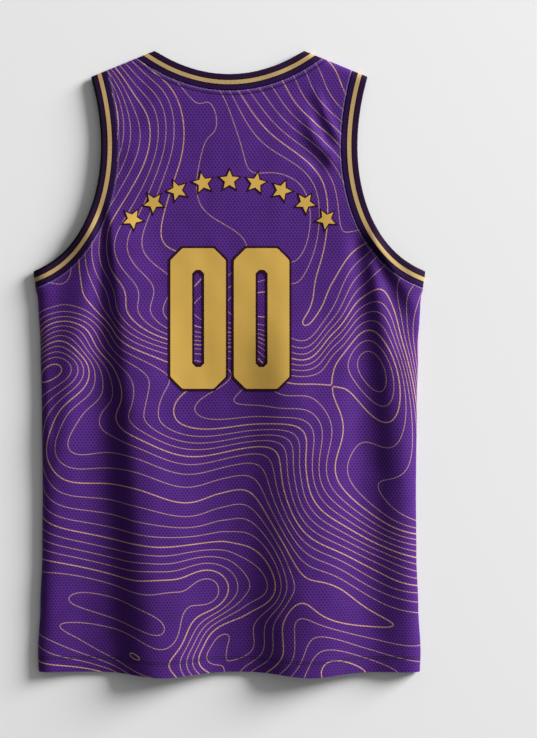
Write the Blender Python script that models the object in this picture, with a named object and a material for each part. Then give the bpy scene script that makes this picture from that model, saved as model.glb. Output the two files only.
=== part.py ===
"""Basketball jersey, laid flat and face down on a table, so that its back is uppermost.

Five sewn pieces are modelled as walls of cloth: the back, the front, the ribbed band round the neck and
the ribbed band round each armhole. The front lies flat on the table and the back lies over it in soft
lengthwise folds. The two meet edge to edge at the side and shoulder seams, where the cloth turns over,
and each band runs on over those turns as one closed ring. Neck, armholes and hem stay open.

Units are metres. The origin is on the table under the middle of the jersey, +X runs across the chest,
+Y from the hem to the neck and +Z up. Each half outline is written for x >= 0 and mirrored.
"""

import math
from collections import namedtuple

import bmesh
import bpy
from mathutils import Vector

Curve = namedtuple("Curve", "start start_handle end_handle end")
Width = namedtuple("Width", "y half_width")
Dip = namedtuple("Dip", "x depth reach")
Turn = namedtuple("Turn", "side_radius shoulder_radius angles")
Steps = namedtuple("Steps", "neck shoulder armhole side hem")
Layer = namedtuple("Layer", "name facing neck armhole turn steps")
Swell = namedtuple("Swell", "size reach")
FoldEnd = namedtuple("FoldEnd", "x y ridge trough face")
Fold = namedtuple("Fold", "name top bottom bow fade")
Finish = namedtuple("Finish", "colour roughness")

# Cut of the jersey
SHOULDER_NECK_POINT = (0.0933, 0.3911)
SHOULDER_TIP = (0.1730, 0.3585)
UNDERARM_POINT = (0.2450, 0.1154)
BACK_NECK_Y = 0.3615
FRONT_NECK_Y = 0.2760
HEM_Y = -0.3850
BAND_WIDTH = 0.0204

# Cloth
PANEL_THICKNESS = 0.0012
BAND_THICKNESS = 0.0020
BAND_RISE = 0.0004
BAND_EDGE_ROUNDING = 0.0005
SEAM_GAP = 0.0003

# Lie of the cloth: the height of the seams in the turned edges, and of the back between them
SEAM_LEVEL = 0.0045
BACK_LEVEL = 0.0157
SHOULDER_LEVEL = 0.0085
SHOULDER_SLOPE_LENGTH = 0.270
LEAST_LEVEL = 0.0060
LEAST_LEVEL_SOFTNESS = 0.0010
BACK_TURN = Turn(side_radius=0.022, shoulder_radius=0.010, angles=(90.0, 68.0, 46.0, 23.0, 0.0))
FRONT_TURN = Turn(side_radius=0.006, shoulder_radius=0.006, angles=(90.0, 58.0, 28.0, 0.0))

# Half width of the body from the underarm down to the hem
SIDE_PROFILE = (
    Width(y=0.1154, half_width=0.2450),
    Width(y=0.0954, half_width=0.2425),
    Width(y=0.0800, half_width=0.2390),
    Width(y=0.0200, half_width=0.2362),
    Width(y=-0.0600, half_width=0.2344),
    Width(y=-0.1600, half_width=0.2334),
    Width(y=-0.2400, half_width=0.2340),
    Width(y=-0.3050, half_width=0.2364),
    Width(y=-0.3600, half_width=0.2392),
    Width(y=-0.3906, half_width=0.2382),
)

# Where the folds let the hem hang a little lower
HEM_DIPS = (
    Dip(x=-0.082, depth=0.0056, reach=0.045),
    Dip(x=0.102, depth=0.0056, reach=0.042),
)

# Half outlines, walked with the cloth on the right hand: the neck from its middle to the shoulder, and the
# armhole from the shoulder to the underarm. Handles at a seam are steps from the seam's point.
BACK_NECK_MIDDLE_HANDLE = 0.0330
BACK_NECK_END_STEP = (-0.0273, -0.0184)
BACK_ARMHOLE_TOP_STEP = (-0.0338, -0.1170)
BACK_ARMHOLE_END_STEP = (-0.0701, 0.0240)
FRONT_NECK_MIDDLE_HANDLE = 0.0640
FRONT_NECK_END_STRETCH = 2.40
FRONT_ARMHOLE_END_STRETCH = 1.20


def along(point, step):
    """Point moved by a step."""
    return (point[0] + step[0], point[1] + step[1])


def over_seam(step, seam, stretch=1.0):
    """Step on the front that carries an edge of the back smoothly on past a seam, where the cloth turns."""
    length_squared = seam[0] ** 2 + seam[1] ** 2
    share = (step[0] * seam[0] + step[1] * seam[1]) / length_squared
    return tuple(stretch * (part - 2 * share * run) for part, run in zip(step, seam))


SHOULDER_SEAM = (SHOULDER_TIP[0] - SHOULDER_NECK_POINT[0], SHOULDER_TIP[1] - SHOULDER_NECK_POINT[1])
SIDE_SEAM = (
    SIDE_PROFILE[0].half_width - SIDE_PROFILE[1].half_width,
    SIDE_PROFILE[0].y - SIDE_PROFILE[1].y,
)
FRONT_NECK_END_STEP = over_seam(BACK_NECK_END_STEP, SHOULDER_SEAM, FRONT_NECK_END_STRETCH)
FRONT_ARMHOLE_TOP_STEP = over_seam(BACK_ARMHOLE_TOP_STEP, SHOULDER_SEAM)
FRONT_ARMHOLE_END_STEP = over_seam(BACK_ARMHOLE_END_STEP, SIDE_SEAM, FRONT_ARMHOLE_END_STRETCH)

BACK_NECK = Curve(
    (0.0, BACK_NECK_Y),
    (BACK_NECK_MIDDLE_HANDLE, BACK_NECK_Y),
    along(SHOULDER_NECK_POINT, BACK_NECK_END_STEP),
    SHOULDER_NECK_POINT,
)
FRONT_NECK = Curve(
    (0.0, FRONT_NECK_Y),
    (FRONT_NECK_MIDDLE_HANDLE, FRONT_NECK_Y),
    along(SHOULDER_NECK_POINT, FRONT_NECK_END_STEP),
    SHOULDER_NECK_POINT,
)
BACK_ARMHOLE = Curve(
    SHOULDER_TIP,
    along(SHOULDER_TIP, BACK_ARMHOLE_TOP_STEP),
    along(UNDERARM_POINT, BACK_ARMHOLE_END_STEP),
    UNDERARM_POINT,
)
FRONT_ARMHOLE = Curve(
    SHOULDER_TIP,
    along(SHOULDER_TIP, FRONT_ARMHOLE_TOP_STEP),
    along(UNDERARM_POINT, FRONT_ARMHOLE_END_STEP),
    UNDERARM_POINT,
)

BACK_STEPS = Steps(neck=12, shoulder=6, armhole=15, side=19, hem=None)
FRONT_STEPS = Steps(neck=12, shoulder=2, armhole=15, side=6, hem=14)
BACK = Layer("back", 1, BACK_NECK, BACK_ARMHOLE, BACK_TURN, BACK_STEPS)
FRONT = Layer("front", -1, FRONT_NECK, FRONT_ARMHOLE, FRONT_TURN, FRONT_STEPS)

# Folds of the back. Each has a steep face along a line from its top end to its bottom end, which bows to
# the right. A ridge stands on the right of the line and a trough lies on its left. Both die away over
# their reach, and past the ends of the line over fade. The face is as wide as the step between them.
FOLDS = (
    Fold(
        "left",
        top=FoldEnd(-0.1511, 0.150, ridge=Swell(0.0068, 0.054), trough=Swell(0.0058, 0.014), face=0.0020),
        bottom=FoldEnd(-0.1245, -0.400, ridge=Swell(0.0145, 0.082), trough=Swell(0.0150, 0.083), face=0.0133),
        bow=0.0027,
        fade=0.036,
    ),
    Fold(
        "middle",
        top=FoldEnd(0.0440, -0.010, ridge=Swell(0.0107, 0.070), trough=Swell(0.0001, 0.070), face=0.0160),
        bottom=FoldEnd(0.0517, -0.400, ridge=Swell(0.0135, 0.130), trough=Swell(0.0140, 0.090), face=0.0149),
        bow=0.0009,
        fade=0.080,
    ),
    Fold(
        "right",
        top=FoldEnd(0.1727, 0.135, ridge=Swell(0.0062, 0.015), trough=Swell(0.0085, 0.019), face=0.0044),
        bottom=FoldEnd(0.1985, -0.400, ridge=Swell(0.0001, 0.058), trough=Swell(0.0138, 0.073), face=0.0138),
        bow=0.0085,
        fade=0.026,
    ),
    Fold(
        "left underarm",
        top=FoldEnd(-0.1876, 0.145, ridge=Swell(0.0070, 0.036), trough=Swell(0.0045, 0.041), face=0.0107),
        bottom=FoldEnd(-0.2145, -0.090, ridge=Swell(0.0023, 0.019), trough=Swell(0.0030, 0.008), face=0.0065),
        bow=-0.0036,
        fade=0.034,
    ),
    Fold(
        "right underarm",
        top=FoldEnd(0.1900, 0.130, ridge=Swell(0.0038, 0.011), trough=Swell(0.0055, 0.016), face=0.0020),
        bottom=FoldEnd(0.2380, 0.050, ridge=Swell(0.0001, 0.013), trough=Swell(0.0050, 0.038), face=0.0059),
        bow=-0.0006,
        fade=0.022,
    ),
)

# Lines along a band, by their distance from its outer edge
BAND_ACROSS = (0.0, 0.0016, BAND_WIDTH / 2, BAND_WIDTH)

# Where along its curve an edge meets a turn near its start and near its end, as bounds for the search
START_SEARCH = (-0.15, 0.30)
END_SEARCH = (0.60, 1.25)
SEARCH_STEPS = 50
SLOPE_STEP = 0.001
DYING_POWER = 3

SHARP_ANGLE = 50
MESH_JERSEY = Finish(colour=(0.075, 0.027, 0.180), roughness=0.62)
BAND_RIB = Finish(colour=(0.020, 0.008, 0.045), roughness=0.70)


def clear_scene():
    """Removes every object, so that the script can be run again in the same file."""
    for obj in list(bpy.data.objects):
        bpy.data.objects.remove(obj, do_unlink=True)


def bezier(curve, t):
    """Point of a cubic curve at t, which may run a little past 0 or 1."""
    weights = ((1 - t) ** 3, 3 * t * (1 - t) ** 2, 3 * t * t * (1 - t), t**3)
    return tuple(sum(w * p[axis] for w, p in zip(weights, curve)) for axis in (0, 1))


def heading(curve, t):
    """Unit direction of travel along a cubic curve at t."""
    weights = ((1 - t) ** 2, 2 * t * (1 - t), t * t)
    legs = [(b[0] - a[0], b[1] - a[1]) for a, b in zip(curve, curve[1:])]
    dx, dy = (sum(w * leg[axis] for w, leg in zip(weights, legs)) for axis in (0, 1))
    length = math.hypot(dx, dy)
    return dx / length, dy / length


def inset_point(curve, t, across):
    """Point of the curve moved across into the cloth, which lies on its right hand."""
    x, y = bezier(curve, t)
    dx, dy = heading(curve, t)
    return x + dy * across, y - dx * across


def half_width(y):
    """Half width of the body at y, through the rows of the side profile."""
    rows = SIDE_PROFILE
    if y >= rows[0].y:
        return rows[0].half_width
    for above, below in zip(rows, rows[1:]):
        if y >= below.y:
            share = (above.y - y) / (above.y - below.y)
            eased = share * share * (3 - 2 * share)
            return above.half_width + (below.half_width - above.half_width) * eased
    return rows[-1].half_width


def hem_y(x):
    """Height of the hem line at x."""
    return HEM_Y - sum(dip.depth * math.exp(-(((x - dip.x) / dip.reach) ** 2)) for dip in HEM_DIPS)


def shoulder_direction():
    """Unit vector square to the right shoulder seam, pointing out of the jersey."""
    length = math.hypot(*SHOULDER_SEAM)
    return -SHOULDER_SEAM[1] / length, SHOULDER_SEAM[0] / length


def shoulder_distance(x, y):
    """How far a point lies outside the shoulder seam. It is negative on the cloth."""
    nx, ny = shoulder_direction()
    return (abs(x) - SHOULDER_TIP[0]) * nx + (y - SHOULDER_TIP[1]) * ny


def side_distance(x, y):
    """How far a point lies outside the side seam. It is negative on the cloth."""
    return abs(x) - half_width(y)


def shoulder_line_y(x):
    """Height of the shoulder seam at x."""
    nx, ny = shoulder_direction()
    return SHOULDER_TIP[1] - (abs(x) - SHOULDER_TIP[0]) * nx / ny


def turn_distances(layer, radius):
    """Distances from a turned edge at which a layer gets a row of points, from the edge inwards."""
    return [radius * (1 - math.sin(math.radians(angle))) for angle in layer.turn.angles]


def t_at_distance(curve, across, edge_distance, distance, search):
    """Where along an inset curve it lies the given distance inside a turned edge."""
    low, high = search
    low_side = edge_distance(*inset_point(curve, low, across)) + distance > 0
    for _ in range(SEARCH_STEPS):
        middle = (low + high) / 2
        if (edge_distance(*inset_point(curve, middle, across)) + distance > 0) == low_side:
            low = middle
        else:
            high = middle
    return (low + high) / 2


def armhole_stations(layer, across):
    """Points along an armhole at one inset, from the shoulder seam to the side seam."""
    curve = layer.armhole
    from_shoulder = turn_distances(layer, layer.turn.shoulder_radius)
    from_side = turn_distances(layer, layer.turn.side_radius)
    first = [t_at_distance(curve, across, shoulder_distance, d, START_SEARCH) for d in from_shoulder]
    last = [t_at_distance(curve, across, side_distance, d, END_SEARCH) for d in reversed(from_side)]
    count = layer.steps.armhole
    middle = [first[-1] + (last[0] - first[-1]) * step / count for step in range(1, count)]
    return [inset_point(curve, t, across) for t in first + middle + last]


def neck_stations(layer, across):
    """Points along half a neckline at one inset, from its middle to the shoulder seam."""
    curve = layer.neck
    from_shoulder = turn_distances(layer, layer.turn.shoulder_radius)
    last = [t_at_distance(curve, across, shoulder_distance, d, END_SEARCH) for d in reversed(from_shoulder)]
    count = layer.steps.neck
    first = [last[0] * step / count for step in range(count)]
    return [inset_point(curve, t, across) for t in first + last]


def between(low, high, share):
    """Value a share of the way from low to high."""
    return low + (high - low) * share


def dying_away(distance, reach):
    """Falls from 1 at no distance towards 0 well past the reach."""
    return math.exp(-((abs(distance) / reach) ** DYING_POWER))


def swelling(top, bottom, share, off):
    """Size of a ridge or trough at a distance off its fold's line, a share of the way down."""
    return between(top.size, bottom.size, share) * dying_away(off, between(top.reach, bottom.reach, share))


def fold_height(fold, x, y):
    """What one fold adds to the height of the back at a point."""
    top, bottom = fold.top, fold.bottom
    run, rise = bottom.x - top.x, bottom.y - top.y
    length = math.hypot(run, rise)
    down = ((x - top.x) * run + (y - top.y) * rise) / length
    share = min(max(down / length, 0.0), 1.0)
    off = ((y - top.y) * run - (x - top.x) * rise) / length - fold.bow * 4 * share * (1 - share)
    step = 1 / (1 + math.exp(-off / between(top.face, bottom.face, share)))
    ridge = swelling(top.ridge, bottom.ridge, share, max(off, 0.0))
    trough = swelling(top.trough, bottom.trough, share, min(off, 0.0))
    past_end = max(-down, down - length, 0.0)
    return (ridge * step - trough * (1 - step)) * dying_away(past_end, fold.fade)


def back_height(x, y):
    """Height above the table of the outer face of the back, before it turns over at its edges."""
    near = min(max(-shoulder_distance(x, y) / SHOULDER_SLOPE_LENGTH, 0.0), 1.0)
    level = between(SHOULDER_LEVEL, BACK_LEVEL, near * near * (3 - 2 * near))
    spare = level + sum(fold_height(fold, x, y) for fold in FOLDS) - LEAST_LEVEL
    return LEAST_LEVEL + math.log1p(math.exp(spare / LEAST_LEVEL_SOFTNESS)) * LEAST_LEVEL_SOFTNESS


def flat_normal(layer, x, y):
    """Outward normal of a layer at a point, away from its turned edges."""
    if layer.facing < 0:
        return Vector((0.0, 0.0, -1.0))
    step = SLOPE_STEP
    slope_x = (back_height(x + step, y) - back_height(x - step, y)) / (2 * step)
    slope_y = (back_height(x, y + step) - back_height(x, y - step)) / (2 * step)
    return Vector((-slope_x, -slope_y, 1.0)).normalized()


def cloth_point(layer, x, y, rise=0.0, seam_gap=0.0):
    """Outer point of the cloth over (x, y) and its outward normal, with the turn at the seams."""
    flat_z = back_height(x, y) + rise if layer.facing > 0 else 0.0
    seam_z = SEAM_LEVEL + layer.facing * seam_gap / 2
    at_side, at_shoulder = side_distance(x, y), shoulder_distance(x, y)
    if at_side > at_shoulder:
        radius = layer.turn.side_radius
        outward = Vector((math.copysign(1.0, x), 0.0, 0.0))
    else:
        nx, ny = shoulder_direction()
        radius = layer.turn.shoulder_radius
        outward = Vector((math.copysign(nx, x), ny, 0.0))
    sine = min(max(1 + max(at_side, at_shoulder) / radius, 0.0), 1.0)
    cosine = math.sqrt(1 - sine * sine)
    drop = abs(flat_z - seam_z)
    normal = flat_normal(layer, x, y) * (radius * cosine) + outward * (drop * sine)
    return Vector((x, y, seam_z + (flat_z - seam_z) * cosine)), normal.normalized()


def mirrored(points):
    """Half an outline made whole, from the left to the right, when its first point is in the middle."""
    return [(-x, y) for x, y in reversed(points[1:])] + points


def side_stations(layer, corner_y):
    """Heights down a side seam, from the underarm corner to the hem."""
    count = layer.steps.side
    return [between(corner_y, HEM_Y, step / count) for step in range(count + 1)]


def with_hem(x, y, share):
    """Point pushed down by its share of the hem's dips."""
    return x, y + share * (hem_y(x) - HEM_Y)


def grid_faces(rows, columns, ring=False):
    """Faces of a grid of points numbered row by row, joined from its last row to its first in a ring."""
    faces = []
    for row in range(rows if ring else rows - 1):
        here, after = row * columns, (row + 1) % rows * columns
        for column in range(columns - 1):
            faces.append((here + column, after + column, after + column + 1, here + column + 1))
    return faces


def back_sheet():
    """Points (x, y) and faces of the back, in rows from its top edge to the hem."""
    layer = BACK
    inset = BAND_WIDTH + SEAM_GAP
    side_radius = layer.turn.side_radius
    neck = neck_stations(layer, inset)
    armhole = armhole_stations(layer, inset)
    edge = armhole + [(half_width(y), y) for y in side_stations(layer, armhole[-1][1])[1:]]
    edge_distances = turn_distances(layer, side_radius)
    tip_x, tip_y = edge[0]
    inner_x = tip_x - side_radius
    count = layer.steps.shoulder
    shoulder_x = [between(neck[-1][0], inner_x, step / count) for step in range(1, count + 1)]
    top = neck + [(x, shoulder_line_y(x)) for x in shoulder_x]
    first_even = len(layer.turn.angles) - 1
    rows = []
    for index, (edge_x, edge_y) in enumerate(edge):
        middle_y = edge_y
        if index > first_even:
            evenly = (index - first_even) / (len(edge) - 1 - first_even)
            middle_y = between(edge[first_even][1], HEM_Y, evenly)
        half = [(x / inner_x * (edge_x - side_radius), y - tip_y) for x, y in top]
        half += [(edge_x - d, shoulder_line_y(tip_x - d) - tip_y) for d in reversed(edge_distances[:-1])]
        for column, (x, lift) in enumerate(half):
            row_y = between(middle_y, edge_y, (x / edge_x) ** 2)
            half[column] = (x, row_y + lift * (row_y - HEM_Y) / (tip_y - HEM_Y))
        rows.append([with_hem(x, y, index / (len(edge) - 1)) for x, y in mirrored(half)])
    return [point for row in rows for point in row], grid_faces(len(rows), len(rows[0]))


def front_sheet():
    """Points (x, y) and faces of the front: one flat face, and strips of faces where its edges turn up."""
    layer = FRONT
    inset = BAND_WIDTH + SEAM_GAP
    neck = neck_stations(layer, inset)
    armhole = armhole_stations(layer, inset)
    turn = len(layer.turn.angles)
    count = layer.steps.shoulder
    shoulder_rows = []
    for start, end in zip(reversed(neck[-turn:]), armhole[:turn]):
        shares = [step / count for step in range(count + 1)]
        shoulder_rows.append([(between(start[0], end[0], s), between(start[1], end[1], s)) for s in shares])
    side_rows = [armhole[-turn:]]
    for y in side_stations(layer, armhole[-1][1])[1:]:
        distances = reversed(turn_distances(layer, layer.turn.side_radius))
        side_rows.append([(half_width(y) - d, y) for d in distances])
    hem_x = [side_rows[-1][0][0] * (1 - step / layer.steps.hem) for step in range(1, layer.steps.hem + 1)]
    flat = neck[: 1 - turn] + shoulder_rows[-1][1:-1] + armhole[turn - 1 : 1 - turn]
    flat += [row[0] for row in side_rows[1:]] + [(x, HEM_Y) for x in hem_x]

    numbers = {}

    def number(side, point):
        x, y = with_hem(side * point[0], point[1], 1.0 if point[1] == HEM_Y else 0.0)
        return numbers.setdefault((round(x, 7), round(y, 7)), len(numbers))

    faces = [[number(1, point) for point in flat] + [number(-1, point) for point in reversed(flat[1:-1])]]
    for side in (1, -1):
        for rows in (shoulder_rows, side_rows):
            points = [number(side, point) for row in rows for point in row]
            faces += [[points[corner] for corner in face] for face in grid_faces(len(rows), len(rows[0]))]
    return list(numbers), faces


def close_wall(name, pairs, faces, finish):
    """One closed wall of cloth from (outer, inner) points and the faces of its outer sheet."""
    bm = bmesh.new()
    outer = [bm.verts.new(pair[0]) for pair in pairs]
    inner = [bm.verts.new(pair[1]) for pair in pairs]
    for face in faces:
        bm.faces.new([outer[corner] for corner in face])
    beneath = dict(zip(outer, inner))
    rim = [edge.verts[:] for edge in bm.edges if edge.is_boundary]
    for face in faces:
        bm.faces.new([inner[corner] for corner in face])
    for a, b in rim:
        bm.faces.new((a, b, beneath[b], beneath[a]))
    bmesh.ops.triangulate(bm, faces=bm.faces)
    bmesh.ops.recalc_face_normals(bm, faces=bm.faces)
    mesh = bpy.data.meshes.new(name)
    bm.to_mesh(mesh)
    bm.free()
    mesh.shade_smooth()
    mesh.set_sharp_from_angle(angle=math.radians(SHARP_ANGLE))
    mesh.materials.append(material(name, finish))
    obj = bpy.data.objects.new(name, mesh)
    collection().objects.link(obj)
    return obj


def wall_pair(layer, x, y, thickness, rise=0.0, rounding=0.0, seam_gap=0.0):
    """Outer and inner point of a wall of cloth over (x, y)."""
    outer, normal = cloth_point(layer, x, y, rise, seam_gap)
    return outer - normal * rounding, outer - normal * (thickness - rounding)


def make_panel(layer, sheet):
    """The front or the back, cut to its outline and thickened."""
    points, faces = sheet
    pairs = [wall_pair(layer, x, y, PANEL_THICKNESS, seam_gap=SEAM_GAP) for x, y in points]
    return close_wall(f"{layer.name}_panel", pairs, faces, MESH_JERSEY)


def band_line(layer, stations, across):
    """Points of one lengthwise line of a band on one layer."""
    rise = BAND_RISE if layer.facing > 0 else 0.0
    rounding = BAND_EDGE_ROUNDING if across == 0 else 0.0
    return [wall_pair(layer, x, y, BAND_THICKNESS, rise, rounding) for x, y in stations]


def make_band(name, stations_of):
    """A ribbed band as one ring: along its edge on the back, over the turn, and home along the front."""
    lines = []
    for across in BAND_ACROSS:
        back_line = band_line(BACK, stations_of(BACK, across), across)
        front_line = band_line(FRONT, stations_of(FRONT, across), across)
        lines.append(back_line + front_line[-2:0:-1])
    pairs = [pair for section in zip(*lines) for pair in section]
    return close_wall(name, pairs, grid_faces(len(lines[0]), len(lines), ring=True), BAND_RIB)


def whole_neckline(layer, across):
    """Points of a neckline from the left shoulder seam to the right one."""
    return mirrored(neck_stations(layer, across))


def armhole_on(side):
    """Gives the stations of the right armhole for side 1, or of the left one for side -1."""

    def stations(layer, across):
        return [(side * x, y) for x, y in armhole_stations(layer, across)]

    return stations


def collection():
    """The collection that holds the jersey."""
    name = "basketball_jersey"
    found = bpy.data.collections.get(name)
    if found is None:
        found = bpy.data.collections.new(name)
        bpy.context.scene.collection.children.link(found)
    return found


def material(name, finish):
    """A cloth material of one colour and roughness."""
    made = bpy.data.materials.new(name)
    made.use_nodes = True
    shader = made.node_tree.nodes["Principled BSDF"]
    shader.inputs["Base Color"].default_value = (*finish.colour, 1.0)
    shader.inputs["Roughness"].default_value = finish.roughness
    shader.inputs["Metallic"].default_value = 0.0
    return made


def build():
    """Models the whole jersey."""
    clear_scene()
    make_panel(FRONT, front_sheet())
    make_panel(BACK, back_sheet())
    make_band("neck_band", whole_neckline)
    make_band("armhole_band_right", armhole_on(1))
    make_band("armhole_band_left", armhole_on(-1))


build()
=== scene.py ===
"""Looks of a basketball jersey that lies flat on its front, with its back uppermost.

The two mesh panels, the three ribbed bands, the stitching, the pressed-on number and the arc of stars are
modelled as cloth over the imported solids, and every one gets a woven, knitted or printed material.

Units are metres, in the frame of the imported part: +X runs across the chest, +Y from the hem to the neck
and +Z up, with the origin on the surface under the middle of the jersey.
"""

import logging
import math
from dataclasses import dataclass, field, replace
from enum import Enum
from typing import Callable, ClassVar

import bpy
import numpy as np
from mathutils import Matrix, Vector
from mathutils.kdtree import KDTree

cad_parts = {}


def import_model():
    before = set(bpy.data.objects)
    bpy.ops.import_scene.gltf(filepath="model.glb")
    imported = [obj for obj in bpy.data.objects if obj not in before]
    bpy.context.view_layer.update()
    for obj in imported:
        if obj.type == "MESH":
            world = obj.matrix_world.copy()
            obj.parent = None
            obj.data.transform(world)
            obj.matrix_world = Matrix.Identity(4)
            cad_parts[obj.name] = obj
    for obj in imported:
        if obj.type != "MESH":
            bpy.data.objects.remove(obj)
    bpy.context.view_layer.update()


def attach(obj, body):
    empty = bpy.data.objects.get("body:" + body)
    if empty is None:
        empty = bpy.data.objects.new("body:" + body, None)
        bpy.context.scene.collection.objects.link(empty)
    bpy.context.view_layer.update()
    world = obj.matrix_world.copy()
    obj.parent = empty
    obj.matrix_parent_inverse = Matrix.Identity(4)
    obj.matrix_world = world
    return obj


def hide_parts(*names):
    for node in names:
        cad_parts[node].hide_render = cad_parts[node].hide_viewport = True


LOG = logging.getLogger("jersey")
MM = 0.001
BODY = "root"
CLOTH_UV = "cloth"
FROM_NECK, FROM_ARMHOLE, FROM_HEM = "from_neck", "from_armhole", "from_hem"
HEM_ROWS_MM = (16.5, 19.0)
BISECTIONS = 44
# Parts of an edge curve where its place near its start or its end is looked for.
NEAR_START, NEAR_END = (-0.15, 0.30), (0.60, 1.25)
# A Mix node has several sockets of one name, so those for colours are numbered.
MIX_A, MIX_B, MIX_RESULT = 6, 7, 2
# Distance along an axis between the diagonal bands of a wave texture at a scale of 1, in metres.
WAVE_BAND = 0.628
# How fine the cloudy unevenness of a dyed cloth is.
CLOUD_NOISE = {"Detail": 3.0, "Roughness": 0.6}


def smooth_step(share: np.ndarray) -> np.ndarray:
    """Eases a share from 0 to 1, level at both ends."""
    share = np.clip(share, 0.0, 1.0)
    return share * share * (3 - 2 * share)


def dying_away(distance: np.ndarray, reach: np.ndarray | float) -> np.ndarray:
    """Falls from 1 at no distance towards 0 well past the reach."""
    return np.exp(-((np.abs(distance) / reach) ** 3))


def unit(vectors: np.ndarray) -> np.ndarray:
    """Vectors brought to a length of 1."""
    return vectors / np.linalg.norm(vectors, axis=-1, keepdims=True)


def over_seam(step: np.ndarray, seam: np.ndarray) -> np.ndarray:
    """Step on the other layer that carries an edge on past a seam, where the cloth turns."""
    return step - 2 * (step @ seam) / (seam @ seam) * seam


def mirrored(line: np.ndarray) -> np.ndarray:
    """Half a line made whole, from left to right, when its first point is in the middle."""
    return np.concatenate((line[..., :0:-1, :] * (-1.0, 1.0), line), axis=-2)


class Facing(Enum):
    """Which way a panel's outer face looks as the jersey lies."""

    UP = 1
    DOWN = -1


class Side(Enum):
    """Side of the jersey, as seen from above."""

    LEFT = -1
    RIGHT = 1


@dataclass(frozen=True)
class Bezier:
    """A cubic curve in the plane of the table, by the x and y of its ends and handles."""

    start: np.ndarray
    start_handle: np.ndarray
    end_handle: np.ndarray
    end: np.ndarray

    def inset(self, t: np.ndarray, across: np.ndarray) -> np.ndarray:
        """Points of the curve moved into the cloth, which lies on its right hand.

        Args:
            t: places along the curve, which may run a little past 0 or 1.
            across: how far each point is moved, in metres.

        Returns:
            Points as an array with a last axis of x and y.
        """
        corners = np.array([self.start, self.start_handle, self.end_handle, self.end])
        t = np.broadcast_to(t, np.broadcast_shapes(np.shape(t), np.shape(across)))[..., None]
        weights = np.concatenate(((1 - t) ** 3, 3 * t * (1 - t) ** 2, 3 * t * t * (1 - t), t**3), axis=-1)
        slopes = np.concatenate(((1 - t) ** 2, 2 * t * (1 - t), t * t), axis=-1)
        heading = unit(slopes @ np.diff(corners, axis=0))
        right = np.stack((heading[..., 1], -heading[..., 0]), axis=-1)
        return weights @ corners + right * np.asarray(across)[..., None]


@dataclass(frozen=True)
class Layer:
    """One of the two layers of the jersey, with its edges and how far it turns over at the seams."""

    name: str
    facing: Facing
    neck: Bezier
    armhole: Bezier
    side_radius: float
    shoulder_radius: float


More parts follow.
